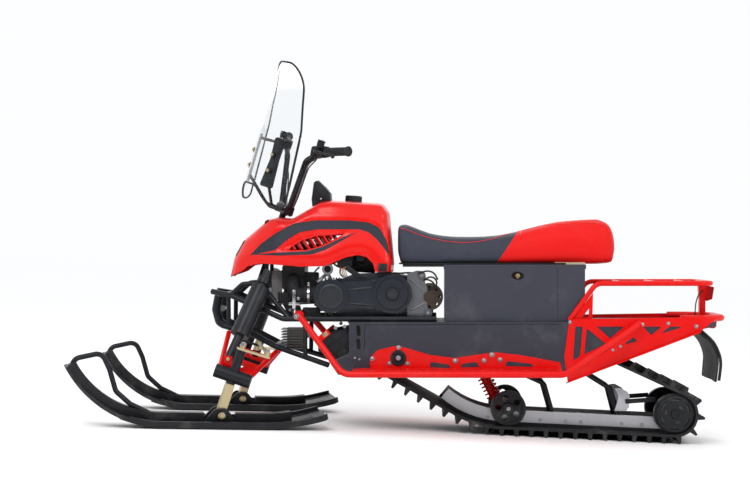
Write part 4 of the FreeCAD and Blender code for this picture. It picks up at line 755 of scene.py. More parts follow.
def build_fairing():
    """Fairing skin in two colours, with its vent and column hole, and the lens in the nose."""
    hood = Hood()
    near_edge = [here - normal * depth for here, normal in zip(hood.edge, hood.normals)
                 for depth in (1.0, 3.2, 7.5, 14.0, 24.0)]
    broad, thin, nose = hood.stripes
    verts, faces = hood.fill([broad, thin, hood.vent, nose], near_edge)
    skin = bmesh.new()
    lens = bmesh.new()
    heights = [hood.side_y(v.x, v.y) for v in verts]
    for sign in (1, -1):
        made = {}
        for face in faces:
            middle = sum((verts[i] for i in face), Vector((0, 0))) / 3
            if not inside(middle, hood.polygon) or inside(middle, hood.vent):
                continue
            corners = []
            for i in face:
                if i not in made:
                    made[i] = skin.verts.new((verts[i].x, sign * heights[i], verts[i].y))
                corners.append(made[i])
            new = skin.faces.new(corners if sign < 0 else corners[::-1])
            new.material_index = int(any(inside(middle, stripe) for stripe in hood.stripes))
    columns = [math.sin(math.pi / 2 * step / 11) for step in range(-11, 12)]
    rows = [[hood.top_point(index, t) for t in columns] for index in range(len(hood.cover))]
    column_axis = Vector((-math.sin(RAKE), 0, math.cos(RAKE)))
    grid = {}
    for i in range(len(rows) - 1):
        for j in range(len(columns) - 1):
            keys = [(i, j), (i, j + 1), (i + 1, j + 1), (i + 1, j)]
            centre = sum((rows[a][b] for a, b in keys), Vector()) / 4
            away = centre - COLUMN_FOOT
            away -= column_axis * away.dot(column_axis)
            if away.length < COLUMN_HOLE and centre.z > COLUMN_LOW:
                continue
            lamp = (LAMP_LOW < centre.z < LAMP_HIGH and centre.x > LAMP_FRONT
                    and abs(centre.y) > LAMP_PARTING)
            mesh = lens if lamp else skin
            for a, b in keys:
                if (lamp, a, b) not in grid:
                    sunk = Vector((hood.normals[a].x, 0, hood.normals[a].y)) * (2 if lamp else 0)
                    grid[lamp, a, b] = mesh.verts.new(rows[a][b] - sunk)
            mesh.faces.new([grid[lamp, a, b] for a, b in keys])
    sheets = []
    for name, mesh, thick in (("fairing_skin", skin, SKIN_THICK),
                              ("headlamp_lens", lens, LENS_THICK)):
        for vert in mesh.verts:
            vert.co = at(*vert.co)
        bmesh.ops.remove_doubles(mesh, verts=mesh.verts, dist=WELD)
        bmesh.ops.recalc_face_normals(mesh, faces=mesh.faces)
        obj = new_object(name, mesh)
        sharp_edges(obj, 38)
        sheet = obj.modifiers.new("sheet", "SOLIDIFY")
        sheet.thickness = thick
        sheet.offset = -1
        sheets.append(obj)
    fairing, glass = sheets
    marks = [face.material_index for face in fairing.data.polygons]
    dress(fairing, "red_plastic", "chassis", "fairing")
    fairing.data.materials.append(STRIPE)
    fairing.data.polygons.foreach_set("material_index", marks)
    dress(glass, "lens", "chassis", "headlamps")
    bezel = bmesh.new()
    sheet = bmesh.new()
    sheet.from_mesh(glass.data)
    for edge in sheet.edges:
        if edge.is_boundary:
            add_tube(bezel, [vert.co.copy() for vert in edge.verts], 0.0036, 8)
    sheet.free()
    piece("lamp_bezels", bezel, "black_plastic", sharp=None)
    return hood


# Slats in the vents, in millimetres: how many, how far apart, their run over x and z, and the
# section by x, depth below the skin and z.
SLATS = 7
SLAT_PITCH = 29
SLAT_RUN = Vector((44, 66))
SLAT_SECTION = ((-2, 2, 2), (2, 2, -2), (12, 24, -4), (8, 24, 0))


def build_vent(hood):
    """Slats across the fairing's side openings, the lamp bowls and the plate behind them."""
    bm = bmesh.new()
    for sign in (1, -1):
        for row in range(SLATS):
            foot = Vector((246 + row * SLAT_PITCH, 760))
            line = [foot.lerp(foot + SLAT_RUN, step / 8) for step in range(9)]
            line = [p for p in line if inside(p, hood.vent) or line_gap(p, hood.vent) < 5]
            if len(line) < 2:
                continue
            rings = []
            for p in line:
                half = hood.side_y(p.x, p.y)
                rings.append([bm.verts.new(at(p.x + x, sign * (half - depth), p.y + z))
                              for x, depth, z in SLAT_SECTION])
            bridge(bm, rings)
    piece("vent_slats", bm, "red_plastic", outward=True)
    bm = bmesh.new()
    for sign in (1, -1):
        place = CHASSIS @ move(0.6176, sign * 0.034, 0.742) @ turn("Y", math.radians(60))
        add_lathe(bm, place, [(0.006, 0.0), (0.014, 0.003), (0.019, 0.010), (0.0215, 0.022),
                              (0.0225, 0.034), (0.0245, 0.034), (0.0235, 0.021), (0.0205, 0.007),
                              (0.014, -0.003), (0.006, -0.006)], 28)
        add_lathe(bm, place, [(0.007, 0.0), (0.0075, 0.012), (0.005, 0.02), (0.0, 0.022)], 16)
    piece("lamp_bowls", bm, "disc_steel", outward=True)
    back = bmesh.new()
    add_box(back, CHASSIS @ move(0.655, 0, 0.720) @ turn("Y", math.radians(-30)),
            (-0.044, -0.072, -0.004), (-0.040, 0.072, 0.086), 0.001)
    piece("lamp_back", back, "black_plastic")


# Search trees of the nodes that rays have met.
TREES = {}


def tree_from(mesh):
    """Search tree of a mesh's faces."""
    return BVHTree.FromPolygons([v.co for v in mesh.vertices], [p.vertices for p in mesh.polygons])


def spot_on(node, start, direction):
    """Where a ray meets a node, and the surface's direction there."""
    if node not in TREES:
        TREES[node] = tree_from(frame["nodes"][node].data)
    place, normal = TREES[node].ray_cast(start, Vector(direction).normalized())[:2]
    if place is not None and normal.dot(Vector(direction)) > 0:
        normal = -normal
    return place, normal


# Distance from the middle, in millimetres, that rays to the sides start at.
OUTSIDE = 900


def side_hits(node, rows, sign):
    """Where chassis x and z rows meet a node's side: spots with directions, misses left out."""
    way = heading(0, -sign, 0)
    found = [spot_on(node, at(x, sign * OUTSIDE, z), way) for x, z in rows]
    return [(spot, normal) for spot, normal in found if spot is not None]


SIDES = ((1, "left"), (-1, "right"))

# Seat by x: height of the top on the middle plane, of the lower edge, and half width.
SEAT_TOP = [(16, 850), (8, 860), (-6, 858), (-37, 843), (-70, 829), (-108, 815), (-150, 807),
            (-200, 802), (-263, 801), (-320, 802), (-381, 807), (-440, 818), (-499, 833),
            (-560, 849), (-617, 861), (-700, 868), (-784, 872), (-806, 867), (-818, 857),
            (-829, 830), (-834, 790)]
SEAT_LOW = [(16, 712), (0, 704), (-60, 702), (-640, 702), (-741, 703), (-815, 708), (-830, 713),
            (-834, 720)]
SEAT_HALF = [(16, 128), (-20, 140), (-100, 147), (-260, 151), (-500, 153), (-700, 152), (-780, 147),
             (-815, 136), (-834, 118)]
# How far the cloth run may puff the cushion, the size of its remeshing and its frames.
SEAT_PUFF = 0.006
SEAT_VOXEL = 0.007
CLOTH_FRAMES = 20
# The cushion's underside lies on the base at SEAT_FLOOR; below SEAT_FLAT it isn't puffed down.
SEAT_FLOOR = 701.2
SEAT_FLAT = 708


def along_rows(rows, x):
    """Value at x between table rows, with x falling down the table."""
    if x >= rows[0][0]:
        return rows[0][1]
    for (x0, v0), (x1, v1) in zip(rows, rows[1:]):
        if x >= x1:
            t = (x0 - x) / (x0 - x1)
            return v0 + (v1 - v0) * t
    return rows[-1][1]


def seat_form():
    """Closed cushion: rings across the seat from its front to its rear."""
    bm = bmesh.new()
    rings = []
    for x in [15.5, 12, 4] + [-8 - 12.5 * step for step in range(65)] + [-817, -825, -830, -834]:
        low = along_rows(SEAT_LOW, x)
        half = along_rows(SEAT_HALF, x)
        high = max(along_rows(SEAT_TOP, x) - low, 6)
        ring = []
        for c, s in circle(1, 44, start=-math.pi / 2):
            power = 0.34 if s < 0 else 0.46
            y = half * math.copysign(abs(c) ** power, c)
            rise = math.copysign(abs(s) ** power, s)
            z = low + high / 2 + high / 2 * rise
            lean = 1 - 0.10 * soft_step((z - low) / high, 0.2, 1.0)
            crown = 6 * (1 - (y / half) ** 2) if rise > 0.8 else 0
            ring.append(bm.verts.new((x, y * lean, z - 4 + crown)))
        rings.append(ring)
    bridge(bm, rings)
    for vert in bm.verts:
        vert.co = at(*vert.co)
    bmesh.ops.recalc_face_normals(bm, faces=bm.faces)
    return new_object("seat_cushion", bm)


def modified(obj):
    """Mesh that an object's modifiers make, which are then removed."""
    depsgraph = bpy.context.evaluated_depsgraph_get()
    mesh = bpy.data.meshes.new_from_object(obj.evaluated_get(depsgraph))
    obj.modifiers.clear()
    return mesh


def swell(obj):
    """Remesh a closed cushion and blow it up as cloth. Gives its places at rest."""
    remesh = obj.modifiers.new("remesh", "REMESH")
    remesh.mode = "VOXEL"
    remesh.voxel_size = SEAT_VOXEL
    obj.data = modified(obj)
    rest = [vert.co.copy() for vert in obj.data.vertices]
    settings = obj.modifiers.new("cloth", "CLOTH").settings
    settings.quality = 4
    settings.mass = 0.3
    settings.use_pressure = True
    settings.uniform_pressure_force = 4.0
    settings.tension_stiffness = 20
    settings.bending_stiffness = 2
    settings.effector_weights.gravity = 0
    scene = bpy.context.scene
    for number in range(CLOTH_FRAMES):
        scene.frame_set(number + 1)
    done = modified(obj)
    for vert, start in zip(obj.data.vertices, rest):
        shift = done.vertices[vert.index].co - start
        if shift.length > SEAT_PUFF:
            shift = shift.normalized() * SEAT_PUFF
        vert.co = start + shift
    scene.frame_set(1)
    return rest


def build_seat():
    """Puffed seat cushion, flat where it lies on its base."""
    seat = seat_form()
    inverse = CHASSIS.inverted()
    rest = swell(seat)
    for vert, start in zip(seat.data.vertices, rest):
        spot = inverse @ vert.co * 1000
        first = inverse @ start * 1000
        if first.z < SEAT_FLAT:
            spot.z = max(spot.z, first.z)
        spot.z = max(spot.z, SEAT_FLOOR)
        vert.co = at(*spot)
    smooth = seat.modifiers.new("smooth", "SMOOTH")
    smooth.factor = 0.5
    smooth.iterations = 4
    finer = seat.modifiers.new("finer", "SUBSURF")
    finer.levels = finer.render_levels = 1
    seat.data = modified(seat)
    for face in seat.data.polygons:
        face.use_smooth = True
    dress(seat, "seat_vinyl", "seat", "seat_pad")
    return seat


def follow(tree, rows, sign, lift):
    """Points of a side line laid on a surface, from chassis x and z."""
    points = []
    for x, z in rows:
        place, normal = tree.ray_cast(at(x, sign * 700, z), heading(0, -sign, 0))[:2]
        if place is not None:
            points.append(place + normal * lift)
    return points


def build_seat_trim(seat):
    """Piping and seams of the cushion, and the roll along its lower edge."""
    tree = tree_from(seat.data)
    piping = bmesh.new()
    seam = bmesh.new()
    # Side lines: x, z. The split runs up the left side, over the top and down the right side.
    red_line = [(10, 842), (-12, 838), (-60, 818), (-120, 800), (-182, 789), (-225, 786),
                (-266, 786), (-310, 791), (-350, 799), (-400, 813), (-430, 823)]
    rear_line = [(-452, 826), (-480, 839), (-531, 851), (-600, 858), (-680, 861), (-760, 861),
                 (-800, 850), (-818, 822)]
    split = [(-371, 704), (-394, 738), (-418, 773), (-441, 808), (-458, 832)]
    for sign in (1, -1):
        add_tube(piping, follow(tree, soft_line(red_line, 30, 8), sign, 0.0006), 0.0012, 8)
        add_tube(seam, follow(tree, soft_line(rear_line, 30, 8), sign, 0.0002), 0.0013, 8)
    over = follow(tree, soft_line(split, 0, 6), 1, 0.0002)
    for step in range(-24, 25):
        place, normal = tree.ray_cast(at(-466, -step * 5.4, 1000), heading(0, 0, -1))[:2]
        if place is not None:
            over.append(place + normal * 0.0002)
    over += follow(tree, soft_line(split[::-1], 0, 6), -1, 0.0002)
    add_tube(seam, over, 0.0014, 8)
    piece("seat_piping", piping, "red_plastic", "seat", sharp=None)
    piece("seat_seams", seam, "red_plastic", "seat", sharp=None)
    welt = bmesh.new()
    loop = [(14, 0), (14, 90), (8, 120), (-60, 140), (-300, 147), (-640, 148)]
    left = rounded_path([at(x, y, 703) for x, y in loop], 0.03)
    right = rounded_path([at(x, -y, 703) for x, y in loop], 0.03)
    add_tube(welt, left[::-1] + right[1:], 0.0028, 8)
    piece("seat_welt", welt, "black_plastic", "seat", sharp=None)


# Distance of the screen's own axis behind the column, and the spacing kept along its rim.
SCREEN_AXIS = 122
RIM_STEP = 7


def screen_rim():
    """Chain of points round the outer face of the screen's sheet, on the steering in mm."""
    mesh = frame["nodes"]["screen"].data
    inverse = STEERING.inverted()
    spots = [inverse @ v.co * 1000 for v in mesh.vertices]
    keys = [(round(p.x, 1), round(p.y, 1), round(p.z, 1)) for p in spots]
    edges = {}
    for face in mesh.polygons:
        normal = inverse.to_3x3() @ face.normal
        middle = sum((spots[i] for i in face.vertices), Vector()) / len(face.vertices)
        if normal.dot(Vector((middle.x + SCREEN_AXIS, middle.y, 0)).normalized()) < 0.8:
            continue
        loop = [keys[i] for i in face.vertices]
        for first, last in zip(loop, loop[1:] + loop[:1]):
            pair = (min(first, last), max(first, last))
            edges[pair] = edges.get(pair, 0) + 1
    links = {}
    for (first, last), count in edges.items():
        if count == 1:
            links.setdefault(first, []).append(last)
            links.setdefault(last, []).append(first)
    start = max(links, key=lambda key: key[2])
    path = [start]
    before = None
    while len(path) == 1 or (path[-1] != start and len(path) <= len(links)):
        options = [key for key in links[path[-1]] if key != before]
        if not options:
            break
        before = path[-1]
        path.append(options[0])
    chain = [Vector(key) for key in path]
    thin = chain[:1]
    for spot in chain[1:]:
        if (spot - thin[-1]).length > RIM_STEP:
            thin.append(spot)
    return thin


def build_screen_trim():
    """Black moulding round the clear screen, its bolts and their washers."""
    edge = bmesh.new()
    places = [on_bar(*spot) for spot in screen_rim()]
    add_tube(edge, places + [places[0]], 0.0042, 10, caps=False)
    piece("screen_edge", edge, "black_plastic", "steering", sharp=None)
    bolts = bmesh.new()
    washers = bmesh.new()
    back = STEERING.to_3x3() @ Vector((-1, 0, 0))
    for sign in (1, -1):
        for y, z in ((118, 214), (120, 150)):
            place, normal = spot_on("screen", on_bar(500, sign * y, z), back)
            if place is not None:
                add_lathe(washers, pointing(place, normal),
                          [(0.0125, -0.0004), (0.0125, 0.002), (0.0105, 0.0032)], 24)
                add_bolt(bolts, place + normal * 0.0028, normal, 0.013, washer=False)
    piece("screen_bolts", bolts, "zinc", "steering")
    piece("screen_washers", washers, "rubber", "steering")


# Axis of the left grip on the steering, in millimetres.
GRIP_INNER = Vector((12, 204, 283))
GRIP_OUTER = Vector((-40, 356, 318))
GRIP_ALONG = (GRIP_OUTER - GRIP_INNER).normalized()


def on_grip(spot, sign):
    """Placement at a spot of a grip's axis, local z pointing outwards along it."""
    along = Vector((GRIP_ALONG.x, sign * GRIP_ALONG.y, GRIP_ALONG.z))
    return STEERING @ pointing(mm(spot.x, sign * spot.y, spot.z), along)


def near_grip(sign, out, ahead, rise):
    """Place by the switches, from the grip's inner end, in millimetres."""
    level = Vector((GRIP_ALONG.y, -GRIP_ALONG.x, 0)).normalized()
    spot = GRIP_OUTER - GRIP_ALONG * 132 + GRIP_ALONG * out + level * ahead + Vector((0, 0, rise))
    return STEERING @ mm(spot.x, sign * spot.y, spot.z)


def build_bar_details():
    """Ribbed grips, switch buttons, bolts of the bar clamps and the grey lead."""
    bm = bmesh.new()
    profile = [(0.0115, 0.0), (0.021, 0.0), (0.0215, 0.004), (0.017, 0.0055)]
    height = 0.0075
    while height < 0.116:
        profile += [(0.0162, height), (0.0168, height + 0.0006), (0.0168, height + 0.0034),
                    (0.0162, height + 0.004)]
        height += 0.0052
    profile += [(0.017, 0.1185), (0.0195, 0.1205), (0.020, 0.126), (0.018, 0.1285),
                (0.006, 0.1288), (0.0, 0.1275)]
    for sign in (1, -1):
        add_lathe(bm, on_grip(GRIP_OUTER - GRIP_ALONG * 125, sign), profile, 40)
    piece("grip_covers", bm, "rubber", "steering", replaced="grips", sharp=50, outward=True)
    bm = bmesh.new()
    for sign in (1, -1):
        start = near_grip(sign, 0, 0, 0)
        back = (near_grip(sign, 0, -10, 0) - start).normalized()
        up = (near_grip(sign, 0, 0, 10) - start).normalized()
        for out, rise, radius in ((-8, 10, 0.005), (-20, 12, 0.0045), (-14, -6, 0.006)):
            add_lathe(bm, pointing(near_grip(sign, out, -18, rise), back),
                      [(radius, 0), (radius, 0.004), (radius * 0.7, 0.006), (0, 0.0065)], 16)
        add_lathe(bm, pointing(near_grip(sign, -17, 22, 37), up),
                  [(0.0155, -0.001), (0.0162, 0.002), (0.015, 0.0045), (0.004, 0.005),
                   (0, 0.005)], 24)
        for out, ahead in ((-10, 24), (-24, 20)):
            add_bolt(bm, near_grip(sign, out, ahead, 42), up, 0.005, washer=False,
                     round_head=True)
    piece("bar_switches", bm, "black_plastic", "steering", outward=True)
    bm = bmesh.new()
    for sign in (1, -1):
        for y in (20, 46):
            place = STEERING @ move(0.012, sign * y / 1000, 0.042)
            add_bolt(bm, place.translation, STEERING.to_3x3() @ Vector((0, 0, 1)), 0.012)
    piece("bar_bolts", bm, "steel", "steering")
    lead = bmesh.new()
    add_hose(lead, [(4, 208, 296), (-6, 184, 276), (10, 136, 238), (9, 112, 226), (-8, 60, 70),
                    (-14, 34, 26), (-16, 24, 6)], 0.03, 0.0042, 12, on_bar)
    piece("bar_lead", lead, "lead_grey", "steering", sharp=None)


def build_dash():
    """Instrument pod with its dial, and the knurled tank cap."""
    bm = bmesh.new()
    rows = [(357, 1028), (343, 1036), (330, 1026), (291, 985), (287, 942), (332, 931), (362, 922),
            (366, 960)]
    flat = rounded_outline([(x, z, 10) for x, z in rows], 10)
    centre = Vector((330, 975))
    rings = []
    for y, shrink in ((-60, 0.86), (-57, 0.96), (-50, 1.0), (0, 1.02), (50, 1.0), (57, 0.96),
                      (60, 0.86)):
        spots = [(p - centre) * shrink + centre for p in flat]
        rings.append([bm.verts.new(at(p.x, y, p.y)) for p in spots])
    bridge(bm, rings)
    piece("dash_pod", bm, "black_plastic", replaced="dash", sharp=40, outward=True)
    place = CHASSIS @ move(0.3195, 0, 1.0165) @ turn("Y", math.radians(-43))
    glass = bmesh.new()
    add_lathe(glass, place, [(0.030, -0.004), (0.032, -0.0005), (0.0305, 0.0012), (0.0, 0.0016)],
              40)
    piece("dash_dial", glass, "lens")
    trim = bmesh.new()
    for sign in (1, -1):
        add_bolt(trim, at(327, sign * 61.5, 960), heading(0, sign, 0), 0.009, washer=False,
                 round_head=True)
    piece("dash_rivets", trim, "steel")
    cap = bmesh.new()
    place = CHASSIS @ move(0.201, 0, 0.940) @ turn("Y", math.radians(-4))
    rings = []
    for radius, height, depth in ((0.0335, 0.004, 0), (0.0338, 0.012, 0), (0.034, 0.014, 0.0016),
                                  (0.0335, 0.030, 0.0016), (0.032, 0.0335, 0.0006),
                                  (0.027, 0.0352, 0), (0.012, 0.0356, 0)):
        ring = []
        for step, (c, s) in enumerate(circle(1, 72)):
            r = radius - (depth if step % 3 == 0 else 0)
            ring.append(cap.verts.new(place @ Vector((r * c, r * s, height))))
        rings.append(ring)
    bridge(cap, rings)
    piece("tank_cap_cover", cap, "black_plastic", replaced="tank_cap")


def side_line(bm, node, rows, sign, radius):
    """Thin bead laid on a node's side along chassis x and z rows."""
    points = [spot for spot, _ in side_hits(node, soft_line(rows, 0, 12), sign)]
    if len(points) > 1:
        add_tube(bm, points, radius, 6)


def inlay(bm, node, rows, sign):
    """Flat patch laid on a node's side: a polygon of chassis x and z."""
    hits = side_hits(node, rows, sign)
    if len(hits) == len(rows):
        verts = [bm.verts.new(spot + normal * 0.0006) for spot, normal in hits]
        bm.faces.new(verts if sign < 0 else verts[::-1])


def build_fasteners():
    """Bolts on both sides, each standing on the node's own surface."""
    side_bolts = bmesh.new()
    cover_bolts = bmesh.new()
    # Node, x, z, size across.
    rows = [("footboard", 118, 333, 15), ("footboard", 15, 377, 15), ("footboard", 50, 314, 14),
            ("footboard", -19, 314, 14), ("footboard", -205, 325, 17), ("footboard", -317, 326, 16),
            ("footboard", -348, 349, 17), ("footboard", -380, 330, 15),
            ("tail_plate", -931, 467, 13), ("tail_plate", -1031, 471, 12),
            ("tail_plate", -1139, 460, 13), ("tail_plate", -817, 368, 10),
            ("tail_plate", -846, 382, 10), ("tail_plate", -650, 476, 12),
            ("tunnel", 186, 336, 7), ("tunnel", 168, 330, 7)]
    for sign, side_name in SIDES:
        for index, (node, x, z, across) in enumerate(rows):
            name = node if node == "tunnel" else f"{node}_{side_name}"
            for spot, normal in side_hits(name, [(x, z)], sign):
                add_bolt(side_bolts, spot, normal, across / 1000, 0.3 + index, round_head=True)
        for spot, normal in side_hits(f"foot_tube_{side_name}", [(410, 498)], sign):
            add_bolt(side_bolts, spot, normal, 0.018)
    cover = [(344, 541), (344, 617), (250, 640), (110, 634), (20, 656), (-56, 624), (-56, 536),
             (20, 512), (110, 530), (250, 516)]
    for index, row in enumerate(cover):
        for spot, normal in side_hits("variator_cover", [row], 1):
            if normal.y > 0.9:
                add_bolt(cover_bolts, spot, normal, 0.009, index)
    piece("side_bolts", side_bolts, "steel")
    piece("cover_bolts", cover_bolts, "disc_dark")


# Centres of the belt cover's two domes on its side, in millimetres: x, z.
DRIVE = (281, 577)
CLUTCH = (39, 585)


def on_cover(x, z):
    """Placement on the belt cover's face, looking outwards."""
    face = side_hits("variator_cover", [(x, z)], 1)[0][0]
    return pointing(at(x, (CHASSIS.inverted() @ face).y * 1000, z), heading(0, 1, 0))


def cover_line(rows, lift=0.0):
    """Points on the belt cover's face along x and z rows."""
    return [spot + normal * lift for spot, normal in side_hits("variator_cover", rows, 1)]


def build_cover_details():
    """Grooves, hub and ribs of the belt cover. The grooves are beads darker than the cover, painted
    shade along them.
    """
    dark = bmesh.new()
    metal = bmesh.new()
    add_lathe(metal, on_cover(*DRIVE), [(0.0475, -0.001), (0.0475, 0.0012), (0.046, 0.0022),
                                        (0.036, 0.0024), (0.0345, 0.0008), (0.010, 0.0006),
                                        (0.0, 0.0008)], 48)
    add_lathe(metal, on_cover(*CLUTCH), [(0.021, -0.002), (0.021, 0.0035), (0.0195, 0.0052),
                                         (0.0150, 0.0055), (0.0140, 0.0045), (0.0, 0.0045)], 32)
    # Beads along the clutch dome's grooves, darker than the cover: painted shade in the grooves.
    x, z = CLUTCH
    for angle in (30, 150, 270):
        points = cover_line([(x + right, z + up) for radius in (26, 34, 44, 54, 58)
                             for right, up in spokes(radius, [angle])])
        if len(points) > 2:
            add_tube(dark, points, 0.0014, 6)
    for radius in (61.5, 27):
        ring = cover_line([(x + c, z + s) for c, s in circle(radius, 48, 49)])
        add_tube(dark, ring, 0.0012, 6)
    for low, high in ((600, 612), (548, 540)):
        shares = [step / 11 for step in range(12)]
        points = cover_line([(218 - 112 * t, low + (high - low) * t) for t in shares], -0.001)
        radii = [0.0012 + 0.0042 * math.sin(math.pi * i / (len(points) - 1))
                 for i in range(len(points))]
        add_tube(metal, points, radii, 10)
    piece("cover_caps", metal, "engine_alloy", sharp=40, outward=True)
    piece("cover_groove_painted_shade", dark, "black_plastic", sharp=None)


def build_engine_details():
    """Intake hose and clamps, brackets, small spring, connectors and leads round the engine."""
    rubber = bmesh.new()
    forward = heading(1, 0, 0)
    outward = heading(0, 1, 0)
    add_lathe(rubber, pointing(at(338, 146, 583), forward),
              [(0.030, 0.0), (0.032, 0.001), (0.032, 0.014), (0.029, 0.016), (0.029, 0.022),
               (0.031, 0.024), (0.031, 0.030), (0.029, 0.032), (0.029, 0.040), (0.033, 0.041),
               (0.033, 0.052), (0.024, 0.053), (0.022, 0.030), (0.0, 0.030)], 36)
    add_hose(rubber, [(386, 146, 583), (424, 146, 583), (436, 138, 608), (436, 104, 640)],
             0.03, 0.027, 20)
    piece("intake_hose", rubber, "rubber", sharp=50, outward=True)
    metal = bmesh.new()
    add_lathe(metal, pointing(at(366, 146, 583), forward),
              [(0.0315, 0.0), (0.0337, 0.0), (0.0337, 0.009), (0.0315, 0.009)], 36)
    add_block(metal, (0.366, 0.140, 0.616), (0.009, 0.012, 0.012), 0.001)
    add_bolt(metal, at(370, 152, 622), outward, 0.007, washer=False)
    # Upright clamp bracket over the foot tube's front eye, and the small spring below it.
    add_block(metal, (0.420, 0.176, 0.526), (0.013, 0.004, 0.074), 0.0012)
    add_block(metal, (0.404, 0.174, 0.540), (0.044, 0.004, 0.010), 0.001)
    add_bolt(metal, at(426, 180, 590), outward, 0.010)
    add_bolt(metal, at(410, 178, 566), outward, 0.010)
    coil = [at(424 + x, 166 + y, 498 + 28 * step / 112)
            for step, (x, y) in enumerate(circle(7.5, 14, 113))]
    add_tube(metal, coil, 0.0013, 6)
    # Hanger eye above the engine.
    ring = pointing(at(298, 108, 681), outward)
    add_lathe(metal, ring, [(0.020, -0.010), (0.022, -0.008), (0.022, 0.008), (0.020, 0.010),
                            (0.014, 0.010), (0.013, 0.004)], 32)
    add_bar(metal, at(300, 104, 664), at(340, 104, 628), 0.014, 0.005)
    add_bar(metal, at(296, 104, 662), at(284, 104, 636), 0.014, 0.005)
    piece("engine_fittings", metal, "disc_steel", sharp=40, outward=True)
    dark = bmesh.new()
    add_lathe(dark, ring, [(0.0135, -0.0085), (0.0135, 0.009), (0.006, 0.0095), (0.005, 0.006),
                           (0.0, 0.006)], 28)
    add_bar(dark, at(224, 143, 690), at(146, 143, 634), 0.021, 0.004)
    for row in range(6):
        add_block(dark, (0.442 + 0.009 * row, 0.120, 0.540), (0.005, 0.036, 0.052), 0.0012)
    add_block(dark, (0.438, 0.118, 0.546), (0.056, 0.030, 0.040), 0.003)
    add_block(dark, (0.2, 0.085, 0.690), (0.06, 0.04, 0.045), 0.004)
    piece("engine_fittings_black", dark, "black_plastic", sharp=40)
    grey = bmesh.new()
    add_plate(grey, CHASSIS @ move(0, 0.072, 0),
              metres([(524, 672), (482, 676), (482, 556), (524, 556)]), 0.003, 0.0008)
    add_block(grey, (0.225, 0.104, 0.716), (0.026, 0.014, 0.022), 0.002)
    piece("duct_panel", grey, "panel_grey", sharp=40)
    yellow = bmesh.new()
    red = bmesh.new()
    black = bmesh.new()
    for index, (bm, shift) in enumerate(((yellow, -7), (yellow, -2), (red, 3), (black, 8),
                                         (yellow, 11))):
        add_hose(bm, [(238 + shift, 110, 718), (238 + shift * 0.7, 112, 690 + index),
                      (236 + shift * 1.6, 108, 664), (226 + shift, 96, 648)], 0.02, 0.0019, 6)
    for radius, spots in (
            (0.0036, [(150, 92, 716), (168, 104, 694), (210, 96, 682), (262, 92, 690),
                      (288, 88, 716)]),
            (0.0032, [(330, 120, 690), (352, 128, 668), (352, 128, 640), (340, 120, 618)]),
            (0.0034, [(92, 100, 690), (70, 120, 668), (20, 130, 664), (-30, 126, 668),
                      (-66, 110, 662)]),
            (0.0034, [(-70, 150, 640), (-112, 150, 640), (-140, 140, 600), (-120, 134, 560)]),
            (0.0042, [(410, 124, 536), (402, 130, 512), (386, 132, 500), (350, 130, 492)])):
        add_hose(black, spots, 0.03, radius, 10)
    piece("leads_yellow", yellow, "lead_yellow", sharp=None)
    piece("leads_red", red, "red_plastic", sharp=None)
    piece("engine_hoses", black, "rubber", sharp=None)


